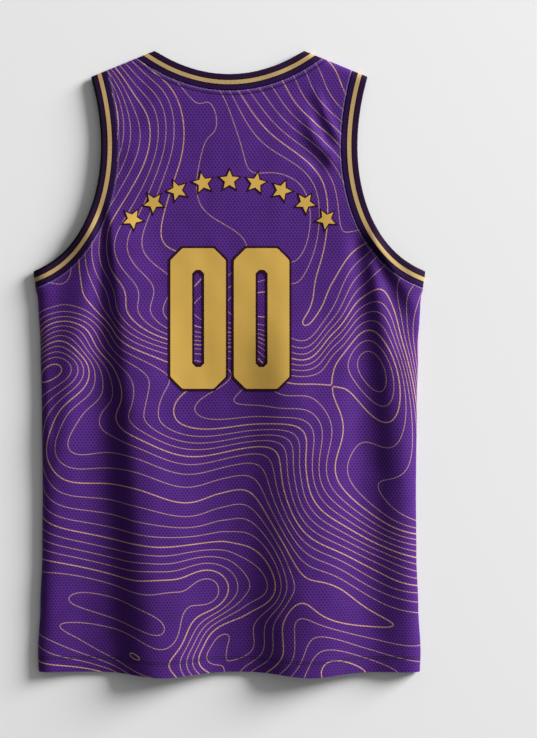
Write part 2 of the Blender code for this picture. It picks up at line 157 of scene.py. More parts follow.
@dataclass(frozen=True)
class JerseyCut:
    """Outline of the jersey as it lies. Half outlines are written for x >= 0 and mirrored."""

    shoulder_neck: tuple[float, float] = (0.0933, 0.3911)
    shoulder_tip: tuple[float, float] = (0.1730, 0.3585)
    underarm: tuple[float, float] = (0.2450, 0.1154)
    hem_y: float = -0.3850
    band_width: float = 0.0204
    seam_gap: float = 0.0003
    # Half widths of the body, as rows of y and x.
    side_profile: tuple[tuple[float, float], ...] = (
        (-0.3906, 0.2382),
        (-0.3600, 0.2392),
        (-0.3050, 0.2364),
        (-0.2400, 0.2340),
        (-0.1600, 0.2334),
        (-0.0600, 0.2344),
        (0.0200, 0.2362),
        (0.0800, 0.2390),
        (0.0954, 0.2425),
        (0.1154, 0.2450),
    )
    # Where the hem hangs lower, as rows of x, depth and reach.
    hem_dips: tuple[tuple[float, float, float], ...] = ((-0.082, 0.0056, 0.045), (0.102, 0.0056, 0.042))
    back_neck_y: float = 0.3615
    back_neck_handle: float = 0.0330
    back_neck_end_step: tuple[float, float] = (-0.0273, -0.0184)
    back_armhole_top_step: tuple[float, float] = (-0.0338, -0.1170)
    back_armhole_end_step: tuple[float, float] = (-0.0701, 0.0240)
    back_turns: tuple[float, float] = (0.022, 0.010)
    front_neck_y: float = 0.2760
    front_neck_handle: float = 0.0640
    front_turns: tuple[float, float] = (0.006, 0.006)
    # How much longer the front's steps are than the back's at the neck, the armhole's top and its end.
    front_stretches: tuple[float, float, float] = (2.40, 1.00, 1.20)

    @property
    def panel_inset(self) -> float:
        """How far inside the finished edge a panel begins."""
        return self.band_width + self.seam_gap

    def layer(self, facing: Facing) -> Layer:
        """The back or the front, whose edges carry the back's on past the seams.

        Args:
            facing: UP for the back and DOWN for the front.

        Returns:
            The layer with its curves and turns.
        """
        neck, tip, arm = (np.array(point) for point in (self.shoulder_neck, self.shoulder_tip, self.underarm))
        steps = [
            np.array(step)
            for step in (self.back_neck_end_step, self.back_armhole_top_step, self.back_armhole_end_step)
        ]
        name, turns = "back", self.back_turns
        middle_y, handle = self.back_neck_y, self.back_neck_handle
        if facing is Facing.DOWN:
            name, turns = "front", self.front_turns
            middle_y, handle = self.front_neck_y, self.front_neck_handle
            side_seam = arm - self.side_profile[-2][::-1]
            seams = (tip - neck, tip - neck, side_seam)
            steps = [k * over_seam(step, seam) for k, step, seam in zip(self.front_stretches, steps, seams)]
        middle = np.array((0.0, middle_y))
        return Layer(
            name=name,
            facing=facing,
            neck=Bezier(middle, middle + (handle, 0.0), neck + steps[0], neck),
            armhole=Bezier(tip, tip + steps[1], arm + steps[2], arm),
            side_radius=turns[0],
            shoulder_radius=turns[1],
        )

    def half_width(self, y: np.ndarray) -> np.ndarray:
        """Half width of the body, through the rows of the side profile.

        Args:
            y: places along the body.

        Returns:
            Half widths in metres.
        """
        heights, widths = np.array(self.side_profile).T
        y = np.clip(y, heights[0], heights[-1])
        above = np.clip(np.searchsorted(heights, y), 1, len(heights) - 1)
        share = smooth_step((heights[above] - y) / (heights[above] - heights[above - 1]))
        return widths[above] + (widths[above - 1] - widths[above]) * share

    def hem_line(self, x: np.ndarray) -> np.ndarray:
        """Height of the hem line at x."""
        dips = (depth * np.exp(-(((x - at) / reach) ** 2)) for at, depth, reach in self.hem_dips)
        return self.hem_y - sum(dips)

    def shoulder_direction(self) -> np.ndarray:
        """Unit vector square to the right shoulder seam, pointing out of the jersey."""
        run = np.subtract(self.shoulder_tip, self.shoulder_neck)
        return unit(np.array([-run[1], run[0]]))

    def shoulder_distance(self, x: np.ndarray, y: np.ndarray) -> np.ndarray:
        """How far a point lies outside the shoulder seam. It is negative on the cloth."""
        nx, ny = self.shoulder_direction()
        return (np.abs(x) - self.shoulder_tip[0]) * nx + (y - self.shoulder_tip[1]) * ny

    def side_distance(self, x: np.ndarray, y: np.ndarray) -> np.ndarray:
        """How far a point lies outside the side seam. It is negative on the cloth."""
        return np.abs(x) - self.half_width(y)

    def shoulder_line(self, x: np.ndarray) -> np.ndarray:
        """Height of the shoulder seam at x."""
        nx, ny = self.shoulder_direction()
        return self.shoulder_tip[1] - (np.abs(x) - self.shoulder_tip[0]) * nx / ny

    def turn_distances(self, radius: float, steps: int) -> np.ndarray:
        """Distances from a turned edge, from 0 to the radius, spaced evenly round the turn."""
        return radius * (1 - np.sin(np.linspace(math.pi / 2, 0.0, steps + 1)))

    def places(
        self,
        curve: Bezier,
        across: np.ndarray,
        outside: Callable[[np.ndarray, np.ndarray], np.ndarray],
        distances: np.ndarray,
        search: tuple[float, float],
    ) -> np.ndarray:
        """Where along inset curves they lie the given distances inside a turned edge.

        Args:
            curve: the edge of the cloth.
            across: insets of the curve, one for each line.
            outside: how far a point lies outside the turned edge.
            distances: distances inside that edge.
            search: bounds of the search along the curve.

        Returns:
            Places as an array of lines by distances.
        """
        across = np.asarray(across, float)[:, None] + np.zeros(len(distances))
        low, high = np.full(across.shape, search[0]), np.full(across.shape, search[1])

        def beyond(t: np.ndarray) -> np.ndarray:
            """Whether the curve is nearer the turned edge than the distance at each place."""
            points = curve.inset(t, across)
            return outside(points[..., 0], points[..., 1]) + distances > 0

        at_start = beyond(low)
        for _ in range(BISECTIONS):
            middle = (low + high) / 2
            same = beyond(middle) == at_start
            low, high = np.where(same, middle, low), np.where(same, high, middle)
        return (low + high) / 2

    def neck_lines(self, layer: Layer, across: np.ndarray, steps: int, turn_steps: int) -> np.ndarray:
        """Points along half a neckline, from its middle to the shoulder seam.

        Args:
            layer: the back or the front.
            across: insets from the finished edge, one for each line.
            steps: steps along the level part.
            turn_steps: steps round the turn at the shoulder.

        Returns:
            Points as an array of lines by stations by x and y.
        """
        distances = self.turn_distances(layer.shoulder_radius, turn_steps)[::-1]
        last = self.places(layer.neck, across, self.shoulder_distance, distances, NEAR_END)
        first = last[:, :1] * np.linspace(0.0, 1.0, steps + 1)[:-1]
        return layer.neck.inset(np.hstack((first, last)), np.asarray(across)[:, None])

    def armhole_lines(
        self, layer: Layer, across: np.ndarray, steps: int, turn_steps: tuple[int, int]
    ) -> np.ndarray:
        """Points along the right armhole, from the shoulder seam to the side seam.

        Args:
            layer: the back or the front.
            across: insets from the finished edge, one for each line.
            steps: steps between the two turns.
            turn_steps: steps round the turn at the shoulder and at the side.

        Returns:
            Points as an array of lines by stations by x and y.
        """
        at_top = self.turn_distances(layer.shoulder_radius, turn_steps[0])
        at_end = self.turn_distances(layer.side_radius, turn_steps[1])[::-1]
        first = self.places(layer.armhole, across, self.shoulder_distance, at_top, NEAR_START)
        last = self.places(layer.armhole, across, self.side_distance, at_end, NEAR_END)
        shares = np.linspace(0.0, 1.0, steps + 1)[1:-1]
        middle = first[:, -1:] + (last[:, :1] - first[:, -1:]) * shares
        return layer.armhole.inset(np.hstack((first, middle, last)), np.asarray(across)[:, None])


@dataclass(frozen=True)
class FoldEnd:
    """One end of a fold: its place, the size and reach of its ridge and trough, and its face's width."""

    x: float
    y: float
    ridge: tuple[float, float]
    trough: tuple[float, float]
    face: float


@dataclass(frozen=True)
class Fold:
    """A soft fold along a line, with a ridge on its right, a trough on its left and a steep face between."""

    top: FoldEnd
    bottom: FoldEnd
    bow: float
    fade: float

    def height(self, x: np.ndarray, y: np.ndarray) -> np.ndarray:
        """What the fold adds to the height of the back.

        Args:
            x: places across the chest.
            y: places along the body.

        Returns:
            Heights in metres.
        """
        top, bottom = self.top, self.bottom
        run, rise = bottom.x - top.x, bottom.y - top.y
        length = math.hypot(run, rise)
        down = ((x - top.x) * run + (y - top.y) * rise) / length
        share = np.clip(down / length, 0.0, 1.0)
        off = ((y - top.y) * run - (x - top.x) * rise) / length - self.bow * 4 * share * (1 - share)
        step = 1 / (1 + np.exp(-off / (top.face + (bottom.face - top.face) * share)))
        swells = []
        for start, end, apart in ((top.ridge, bottom.ridge, off), (top.trough, bottom.trough, -off)):
            size = start[0] + (end[0] - start[0]) * share
            reach = start[1] + (end[1] - start[1]) * share
            swells.append(size * dying_away(np.maximum(apart, 0.0), reach))
        past_end = np.maximum(np.maximum(-down, down - length), 0.0)
        return (swells[0] * step - swells[1] * (1 - step)) * dying_away(past_end, self.fade)


# The left, middle and right folds of the body, and one below each armhole. The solids have them too.
LARGE_FOLDS = (
    Fold(
        FoldEnd(-0.1511, 0.150, ridge=(0.0068, 0.054), trough=(0.0058, 0.014), face=0.0020),
        FoldEnd(-0.1245, -0.400, ridge=(0.0145, 0.082), trough=(0.0150, 0.083), face=0.0133),
        bow=0.0027,
        fade=0.036,
    ),
    Fold(
        FoldEnd(0.0440, -0.010, ridge=(0.0107, 0.070), trough=(0.0001, 0.070), face=0.0160),
        FoldEnd(0.0517, -0.400, ridge=(0.0135, 0.130), trough=(0.0140, 0.090), face=0.0149),
        bow=0.0009,
        fade=0.080,
    ),
    Fold(
        FoldEnd(0.1727, 0.135, ridge=(0.0062, 0.015), trough=(0.0085, 0.019), face=0.0044),
        FoldEnd(0.1985, -0.400, ridge=(0.0001, 0.058), trough=(0.0138, 0.073), face=0.0138),
        bow=0.0085,
        fade=0.026,
    ),
    Fold(
        FoldEnd(-0.1876, 0.145, ridge=(0.0070, 0.036), trough=(0.0045, 0.041), face=0.0107),
        FoldEnd(-0.2145, -0.090, ridge=(0.0023, 0.019), trough=(0.0030, 0.008), face=0.0065),
        bow=-0.0036,
        fade=0.034,
    ),
    Fold(
        FoldEnd(0.1900, 0.130, ridge=(0.0038, 0.011), trough=(0.0055, 0.016), face=0.0020),
        FoldEnd(0.2380, 0.050, ridge=(0.0001, 0.013), trough=(0.0050, 0.038), face=0.0059),
        bow=-0.0006,
        fade=0.022,
    ),
)

# Two short folds beside the right shoulder and a faint one beside the left, which only the looks have.
SMALL_FOLDS = (
    Fold(
        FoldEnd(0.0943, 0.3063, ridge=(0.0047, 0.013), trough=(0.0004, 0.021), face=0.0047),
        FoldEnd(0.1181, 0.2584, ridge=(0.0059, 0.012), trough=(0.0065, 0.018), face=0.0057),
        bow=-0.0057,
        fade=0.017,
    ),
    Fold(
        FoldEnd(0.1125, 0.3182, ridge=(0.0065, 0.009), trough=(0.0054, 0.019), face=0.0065),
        FoldEnd(0.1239, 0.2946, ridge=(0.0059, 0.008), trough=(0.0065, 0.011), face=0.0046),
        bow=-0.0006,
        fade=0.021,
    ),
    Fold(
        FoldEnd(-0.0960, 0.3560, ridge=(0.0002, 0.014), trough=(0.0002, 0.014), face=0.0050),
        FoldEnd(-0.1240, 0.2650, ridge=(0.0010, 0.016), trough=(0.0006, 0.016), face=0.0050),
        bow=0.0,
        fade=0.020,
    ),
)


@dataclass(frozen=True)
class Undulation:
    """Slight unevenness of soft cloth, as a sum of long low waves of fixed random headings."""

    seed: int = 7
    waves: int = 26
    shortest: float = 0.022
    longest: float = 0.110
    slope: float = 0.0075
    # The waves are drawn out along the body, so y counts for less than x.
    y_share: float = 0.6

    def height(self, x: np.ndarray, y: np.ndarray) -> np.ndarray:
        """Height of the unevenness.

        Args:
            x: places across the chest.
            y: places along the body.

        Returns:
            Heights in metres.
        """
        draw = np.random.default_rng(self.seed)
        total = np.zeros(np.broadcast_shapes(np.shape(x), np.shape(y)))
        for length in np.geomspace(self.shortest, self.longest, self.waves):
            heading, phase = draw.uniform(0.0, math.pi), draw.uniform(0.0, 2 * math.pi)
            turns = 2 * math.pi / length
            along = x * math.cos(heading) + self.y_share * y * math.sin(heading)
            total += self.slope / turns * np.sin(turns * along + phase)
        return total


@dataclass(frozen=True)
class ClothLie:
    """How the jersey lies on the table: the height and the outward direction of its outer faces."""

    cut: JerseyCut
    seam_level: float = 0.0045
    back_level: float = 0.0157
    shoulder_level: float = 0.0085
    shoulder_slope: float = 0.270
    least_level: float = 0.0060
    softness: float = 0.0010
    probe: float = 0.001
    folds: tuple[Fold, ...] = LARGE_FOLDS + SMALL_FOLDS
    undulation: Undulation = field(default_factory=Undulation)

    def back_height(self, x: np.ndarray, y: np.ndarray) -> np.ndarray:
        """Height of the outer face of the back, before it turns over at its edges.

        Args:
            x: places across the chest.
            y: places along the body.

        Returns:
            Heights in metres.
        """
        near = smooth_step(-self.cut.shoulder_distance(x, y) / self.shoulder_slope)
        level = self.shoulder_level + (self.back_level - self.shoulder_level) * near
        spare = level + sum(fold.height(x, y) for fold in self.folds) - self.least_level
        soft = self.least_level + np.logaddexp(0.0, spare / self.softness) * self.softness
        return soft + self.undulation.height(x, y)

    def flat_normal(self, layer: Layer, x: np.ndarray, y: np.ndarray) -> np.ndarray:
        """Outward direction of a layer away from its turned edges.

        Args:
            layer: the back or the front.
            x: places across the chest.
            y: places along the body.

        Returns:
            Unit vectors.
        """
        if layer.facing is Facing.DOWN:
            return np.broadcast_to((0.0, 0.0, -1.0), (*x.shape, 3))
        step = self.probe
        slope_x = (self.back_height(x + step, y) - self.back_height(x - step, y)) / (2 * step)
        slope_y = (self.back_height(x, y + step) - self.back_height(x, y - step)) / (2 * step)
        return unit(np.stack((-slope_x, -slope_y, np.ones_like(x)), axis=-1))

    def surface(
        self, layer: Layer, places: np.ndarray, rise: float = 0.0, seam_gap: float = 0.0
    ) -> tuple[np.ndarray, np.ndarray]:
        """Outer points of the cloth over places on the table, with the turn at the seams.

        Args:
            layer: the back or the front.
            places: array with a last axis of x and y.
            rise: height above the panel, for a band.
            seam_gap: gap left between the two layers at a seam.

        Returns:
            The points and their outward directions.
        """
        x, y = places[..., 0], places[..., 1]
        level = self.back_height(x, y) + rise if layer.facing is Facing.UP else np.zeros_like(x)
        seam = self.seam_level + layer.facing.value * seam_gap / 2
        at_side, at_shoulder = self.cut.side_distance(x, y), self.cut.shoulder_distance(x, y)
        by_side = (at_side > at_shoulder)[..., None]
        nx, ny = self.cut.shoulder_direction()
        sign, none = np.sign(x), np.zeros_like(x)
        to_side = np.stack((sign, none, none), axis=-1)
        to_shoulder = np.stack((sign * nx, none + ny, none), axis=-1)
        outward = np.where(by_side, to_side, to_shoulder)
        radius = np.where(by_side[..., 0], layer.side_radius, layer.shoulder_radius)
        sine = np.clip(1 + np.maximum(at_side, at_shoulder) / radius, 0.0, 1.0)
        cosine = np.sqrt(1 - sine * sine)
        flat = self.flat_normal(layer, x, y) * (radius * cosine)[..., None]
        turned = flat + outward * (np.abs(level - seam) * sine)[..., None]
        points = np.stack((x, y, seam + (level - seam) * cosine), axis=-1)
        return points, unit(turned)


def linear_colour(code: str) -> tuple[float, float, float, float]:
    """Turns an sRGB hex colour to the linear colour that a shader takes."""
    parts = [int(code[start : start + 2], 16) / 255 for start in (1, 3, 5)]
    return (*(p / 12.92 if p <= 0.04045 else ((p + 0.055) / 1.055) ** 2.4 for p in parts), 1.0)


def add_node(
    tree: bpy.types.NodeTree,
    kind: str,
    inputs: dict[int | str, object] | None = None,
    output: int | str = 0,
    **settings: object,
) -> bpy.types.NodeSocket:
    """Adds a node with its settings, values and links.

    Args:
        tree: the material's nodes.
        kind: type of the node, without ShaderNode before it.
        inputs: value or linked socket for each named or numbered input.
        output: name or number of the output that is wanted.
        settings: the node's own properties.

    Returns:
        That output of the new node.
    """
    node = tree.nodes.new(f"ShaderNode{kind}")
    for name, value in settings.items():
        setattr(node, name, value)
    for key, value in (inputs or {}).items():
        if isinstance(value, bpy.types.NodeSocket):
            tree.links.new(value, node.inputs[key])
        else:
            node.inputs[key].default_value = value
    return node.outputs[output]


def new_material(name: str, values: dict[str, object]) -> tuple[bpy.types.Material, bpy.types.NodeTree]:
    """Makes a material and sets its Principled shader.

    Args:
        name: what the real material is.
        values: constant value for each named socket of the shader.

    Returns:
        The material and its nodes.
    """
    material = bpy.data.materials.new(name)
    material.use_nodes = True
    tree = material.node_tree
    for socket, value in values.items():
        tree.nodes["Principled BSDF"].inputs[socket].default_value = value
    return material, tree


def link_shader(
    tree: bpy.types.NodeTree, colour: bpy.types.NodeSocket, relief: bpy.types.NodeSocket | None = None
) -> None:
    """Links a material's colour and relief to its shader.

    Args:
        tree: the material's nodes.
        colour: its colour.
        relief: height of its relief in metres, or None where it is smooth.
    """
    shader = tree.nodes["Principled BSDF"]
    tree.links.new(colour, shader.inputs["Base Color"])
    if relief is not None:
        bump = add_node(tree, "Bump", {"Height": relief, "Strength": 1.0, "Distance": 1.0})
        tree.links.new(bump, shader.inputs["Normal"])


@dataclass(frozen=True)
class ContourPrint:
    """Fine lines of equal height over a made-up landscape, each fourth one bolder."""

    warp_per_metre: float = 3.4
    warp_reach: float = 0.22
    hills_per_metre: float = 5.2
    hills_detail: float = 0.8
    hills_roughness: float = 0.35
    levels: float = 23.0
    trend_per_metre: tuple[float, float, float] = (34.0, 36.0, 0.0)
    bold_every: float = 4.0
    line: str = "#C2957C"
    bold_line: str = "#D0A272"
    line_mm: float = 1.05
    bold_mm: float = 1.35
    line_ink: float = 0.58
    bold_ink: float = 0.70
    softness: float = 0.28
    probe_mm: float = 0.6
    origin: tuple[float, float, float] = (5.1, 6.7, 0.0)

    def height(self, tree: bpy.types.NodeTree, point: bpy.types.NodeSocket) -> bpy.types.NodeSocket:
        """Adds the landscape, as broad hills on a slope, bent by a broader noise.

        Args:
            tree: the material's nodes.
            point: point of the cloth, in metres.

        Returns:
            Socket of the height, which rises by 1 from one line to the next.
        """
        place = add_node(tree, "VectorMath", {0: point, 1: self.origin}, operation="ADD")
        bend = {"Vector": place, "Scale": self.warp_per_metre, "Detail": 0.0}
        warp = add_node(tree, "TexNoise", bend, "Color", noise_dimensions="2D")
        centred = add_node(tree, "VectorMath", {0: warp, 1: (0.5, 0.5, 0.5)}, operation="SUBTRACT")
        reach = (self.warp_reach,) * 3
        warped = add_node(tree, "VectorMath", {0: centred, 1: reach, 2: place}, operation="MULTIPLY_ADD")
        broad = {"Vector": warped, "Scale": self.hills_per_metre}
        fine = {"Detail": self.hills_detail, "Roughness": self.hills_roughness}
        hills = add_node(tree, "TexNoise", {**broad, **fine}, noise_dimensions="2D")
        slope = {0: warped, 1: self.trend_per_metre}
        trend = add_node(tree, "VectorMath", slope, "Value", operation="DOT_PRODUCT")
        return add_node(tree, "Math", {0: hills, 1: self.levels, 2: trend}, operation="MULTIPLY_ADD")

    def distance(
        self, tree: bpy.types.NodeTree, point: bpy.types.NodeSocket
    ) -> tuple[bpy.types.NodeSocket, bpy.types.NodeSocket]:
        """Adds the distance to the nearest line, from the height there and how fast it rises.

        Args:
            tree: the material's nodes.
            point: point of the cloth, in metres.

        Returns:
            Sockets of the height and of the distance in metres.
        """
        probe = self.probe_mm * MM
        heights = []
        for offset in ((0.0, 0.0, 0.0), (probe, 0.0, 0.0), (0.0, probe, 0.0)):
            near = add_node(tree, "VectorMath", {0: point, 1: offset}, operation="ADD")
            heights.append(self.height(tree, near))
        slopes = {}
        for axis, other in enumerate(heights[1:]):
            rise = add_node(tree, "Math", {0: other, 1: heights[0]}, operation="SUBTRACT")
            slopes[axis] = add_node(tree, "Math", {0: rise, 1: probe}, operation="DIVIDE")
        slope = add_node(tree, "CombineXYZ", slopes)
        steepness = add_node(tree, "VectorMath", {0: slope}, "Value", operation="LENGTH")
        part = add_node(tree, "Math", {0: heights[0]}, operation="FRACT")
        apart = add_node(tree, "Math", {0: part, 1: 0.5}, operation="SUBTRACT")
        size = add_node(tree, "Math", {0: apart}, operation="ABSOLUTE")
        # On level ground the distance would grow past all bounds.
        rising = add_node(tree, "Math", {0: steepness, 1: 1.0}, operation="MAXIMUM")
        return heights[0], add_node(tree, "Math", {0: size, 1: rising}, operation="DIVIDE")

    def print_on(
        self, tree: bpy.types.NodeTree, point: bpy.types.NodeSocket, cloth: bpy.types.NodeSocket
    ) -> bpy.types.NodeSocket:
        """Prints the lines on the colour of the cloth.

        Args:
            tree: the material's nodes.
            point: point of the cloth, in metres.
            cloth: colour of the cloth.

        Returns:
            Socket of the printed colour.
        """
        height, away = self.distance(tree, point)
        level = add_node(tree, "Math", {0: height}, operation="FLOOR")
        turn = add_node(tree, "Math", {0: level, 1: self.bold_every}, operation="MODULO")
        bold = add_node(tree, "Math", {0: turn, 1: 0.5}, operation="LESS_THAN")
        half_widths = {"To Min": self.line_mm * MM / 2, "To Max": self.bold_mm * MM / 2}
        half = add_node(tree, "MapRange", {"Value": bold, **half_widths})
        inner, outer = (
            add_node(tree, "Math", {0: half, 1: share}, operation="MULTIPLY")
            for share in (1 - self.softness, 1 + self.softness)
        )
        edge = {"From Min": inner, "From Max": outer, "To Min": 1.0, "To Max": 0.0}
        line = add_node(tree, "MapRange", {"Value": away, **edge})
        ink = add_node(tree, "MapRange", {"Value": bold, "To Min": self.line_ink, "To Max": self.bold_ink})
        strength = add_node(tree, "Math", {0: line, 1: ink}, operation="MULTIPLY")
        inks = {MIX_A: linear_colour(self.line), MIX_B: linear_colour(self.bold_line)}
        colour = add_node(tree, "Mix", {0: bold, **inks}, MIX_RESULT, data_type="RGBA")
        printed = {0: strength, MIX_A: cloth, MIX_B: colour}
        return add_node(tree, "Mix", printed, MIX_RESULT, data_type="RGBA")


@dataclass(frozen=True)
class EyeletMesh:
    """Polyester eyelet mesh, warp knitted, with a pattern printed into it."""

    ground: str = "#4B2573"
    # Painted shade: the dark seen through the eyelets and in the grooves.
    hole: str = "#150A2A"
    # Painted light: the ground is painted a little lighter from the hem to the shoulders, where the light
    # falls stronger.
    painted_light_y: tuple[float, float] = (-0.30, 0.33)
    painted_light_tone: tuple[float, float] = (0.90, 1.13)
    # Cloudy unevenness of the dye, about 30 mm across, with the noise values between which its tone runs.
    cloud_per_metre: float = 34.0
    cloud_span: tuple[float, float] = (0.3, 0.7)
    cloud_tone: tuple[float, float] = (0.93, 1.07)
    # A coarse sports mesh. Its eyelets lie in staggered rows, and each is painted partly in the hole colour,
    # a painted shade for the shaded cloth seen through it.
    hole_pitch_mm: float = 4.4
    hole_row_mm: float = 3.3
    hole_radius_mm: float = 0.95
    hole_depth_mm: float = 0.30
    hole_softness: float = 0.3
    open_share: float = 0.46
    # Painted highlight: a pale stripe beside the neck and armhole seams, where the cloth rises a little and
    # catches the light. The stripe is raised too.
    edge: str = "#8C73A6"
    edge_mm: tuple[float, float] = (1.4, 2.8)
    edge_highlight_share: float = 0.48
    edge_height_mm: float = 0.25
    # Grooves beside the neck band and along the hem, sunk a little and darkened with painted shade in the
    # hole colour.
    groove_mm: tuple[float, float] = (5.4, 3.4)
    hem_groove_mm: float = 1.9
    groove_painted_shade: float = 0.80
    roughness: float = 0.58
    specular: float = 0.05
    sheen: float = 0.01
    sheen_roughness: float = 0.45
    sheen_tint: str = "#B9A6D8"
    contours: ContourPrint = field(default_factory=ContourPrint)

    def ridge(
        self, tree: bpy.types.NodeTree, distance: bpy.types.NodeSocket, middle_mm: float, width_mm: float
    ) -> bpy.types.NodeSocket:
        """Adds a soft stripe along a seam.

        Args:
            tree: the material's nodes.
            distance: distance from the seam, in metres.
            middle_mm: where the stripe's middle lies.
            width_mm: width of the stripe at its foot.

        Returns:
            Socket that is 1 in the middle of the stripe and 0 outside it.
        """
        apart = add_node(tree, "Math", {0: distance, 1: middle_mm * MM}, operation="SUBTRACT")
        size = add_node(tree, "Math", {0: apart}, operation="ABSOLUTE")
        fall = {"Value": size, "From Min": 0.0, "From Max": width_mm * MM / 2, "To Min": 1.0, "To Max": 0.0}
        return add_node(tree, "MapRange", fall, interpolation_type="SMOOTHSTEP")

    def holes(self, tree: bpy.types.NodeTree, point: bpy.types.NodeSocket) -> bpy.types.NodeSocket:
        """Adds staggered rows of round holes.

        Args:
            tree: the material's nodes.
            point: point of the cloth, in metres.

        Returns:
            Socket that is 1 in a hole and 0 between holes.
        """
        width, height = self.hole_pitch_mm * MM, 2 * self.hole_row_mm * MM
        cells = add_node(tree, "VectorMath", {0: point, 1: (width, height, 1.0)}, operation="DIVIDE")
        distances = {}
        for number, shift in enumerate((0.0, 0.5)):
            moved = add_node(tree, "VectorMath", {0: cells, 1: (shift, shift, 0.0)}, operation="ADD")
            part = add_node(tree, "VectorMath", {0: moved}, operation="FRACTION")
            centred = add_node(tree, "VectorMath", {0: part, 1: (0.5, 0.5, 0.0)}, operation="SUBTRACT")
            sized = add_node(tree, "VectorMath", {0: centred, 1: (width, height, 0.0)}, operation="MULTIPLY")
            distances[number] = add_node(tree, "VectorMath", {0: sized}, "Value", operation="LENGTH")
        nearest = add_node(tree, "Math", distances, operation="MINIMUM")
        radius, soft = self.hole_radius_mm * MM, self.hole_softness
        rim = {"From Min": radius * (1 - soft), "From Max": radius * (1 + soft), "To Min": 1.0, "To Max": 0.0}
        return add_node(tree, "MapRange", {"Value": nearest, **rim}, interpolation_type="SMOOTHSTEP")

    def dye_and_painted_light(self, tree: bpy.types.NodeTree, cloth: bpy.types.NodeSocket) -> bpy.types.NodeSocket:
        """Adds the dyed ground, with its cloudiness and a painted light that grows from the hem to the
        shoulders.

        Args:
            tree: the material's nodes.
            cloth: point of the cloth, in metres.

        Returns:
            Socket of the ground's colour.
        """
        noise = {"Vector": cloth, "Scale": self.cloud_per_metre, **CLOUD_NOISE}
        cloud = add_node(tree, "TexNoise", noise, noise_dimensions="2D")
        height = add_node(tree, "SeparateXYZ", {0: cloth}, "Y")
        tones = {}
        for number, (value, span, tone) in enumerate(
            ((cloud, self.cloud_span, self.cloud_tone), (height, self.painted_light_y, self.painted_light_tone))
        ):
            bounds = dict(zip(("From Min", "From Max", "To Min", "To Max"), (*span, *tone)))
            tones[number] = add_node(tree, "MapRange", {"Value": value, **bounds})
        tone = add_node(tree, "Math", tones, operation="MULTIPLY")
        ground = linear_colour(self.ground)[:3]
        return add_node(tree, "VectorMath", {0: ground, "Scale": tone}, operation="SCALE")

    def tinted(
        self,
        tree: bpy.types.NodeTree,
        colour: bpy.types.NodeSocket,
        place: bpy.types.NodeSocket,
        share: float,
        tint: str,
    ) -> bpy.types.NodeSocket:
        """Tints the cloth where a mask lies: a pattern, a painted highlight or a painted shade.

        Args:
            tree: the material's nodes.
            colour: colour of the cloth.
            place: 1 where the mask lies and 0 elsewhere.
            share: how much of the tint shows there.
            tint: the tint, as an sRGB hex colour.

        Returns:
            Socket of the tinted colour.
        """
        strength = add_node(tree, "Math", {0: place, 1: share}, operation="MULTIPLY")
        blend = {0: strength, MIX_A: colour, MIX_B: linear_colour(tint)}
        return add_node(tree, "Mix", blend, MIX_RESULT, data_type="RGBA")

    def material(self) -> bpy.types.Material:
        """Makes the mesh's material.

        Returns:
            The material.
        """
        # Dull polyester knit: the eye gets rows of eyelets dark with painted shade, a soft gleam and a crisp
        # print, with a painted highlight and painted shade along the seams and a painted light towards the
        # shoulders.
        material, tree = new_material(
            "warp_knitted_polyester_eyelet_mesh",
            {
                "Roughness": self.roughness,
                "Specular IOR Level": self.specular,
                "Sheen Weight": self.sheen,
                "Sheen Roughness": self.sheen_roughness,
                "Sheen Tint": linear_colour(self.sheen_tint),
            },
        )
        cloth = add_node(tree, "UVMap", output="UV", uv_map=CLOTH_UV)
        hole = self.holes(tree, cloth)
        neck, armhole, hem = (
            add_node(tree, "Attribute", output="Fac", attribute_name=name)
            for name in (FROM_NECK, FROM_ARMHOLE, FROM_HEM)
        )
        seam = add_node(tree, "Math", {0: neck, 1: armhole}, operation="MINIMUM")
        # The raised stripe beside the seams, which carries the painted highlight.
        edge = self.ridge(tree, seam, *self.edge_mm)
        groove = self.ridge(tree, neck, *self.groove_mm)
        for middle in HEM_ROWS_MM:
            row = self.ridge(tree, hem, middle, self.hem_groove_mm)
            groove = add_node(tree, "Math", {0: groove, 1: row}, operation="MAXIMUM")

        # The ground, with its painted light towards the shoulders, and the eyelets in painted shade.
        knit = self.tinted(tree, self.dye_and_painted_light(tree, cloth), hole, self.open_share, self.hole)
        printed = self.contours.print_on(tree, cloth, knit)
        # Painted highlight beside the seams.
        colour = self.tinted(tree, printed, edge, self.edge_highlight_share, self.edge)
        # Painted shade in the grooves.
        colour = self.tinted(tree, colour, groove, self.groove_painted_shade, self.hole)

        sunk = add_node(tree, "Math", {0: hole, 1: groove}, operation="MAXIMUM")
        raised = add_node(tree, "Math", {0: edge, 1: self.edge_height_mm * MM}, operation="MULTIPLY")
        depth = {0: sunk, 1: -self.hole_depth_mm * MM, 2: raised}
        link_shader(tree, colour, add_node(tree, "Math", depth, operation="MULTIPLY_ADD"))
        return material


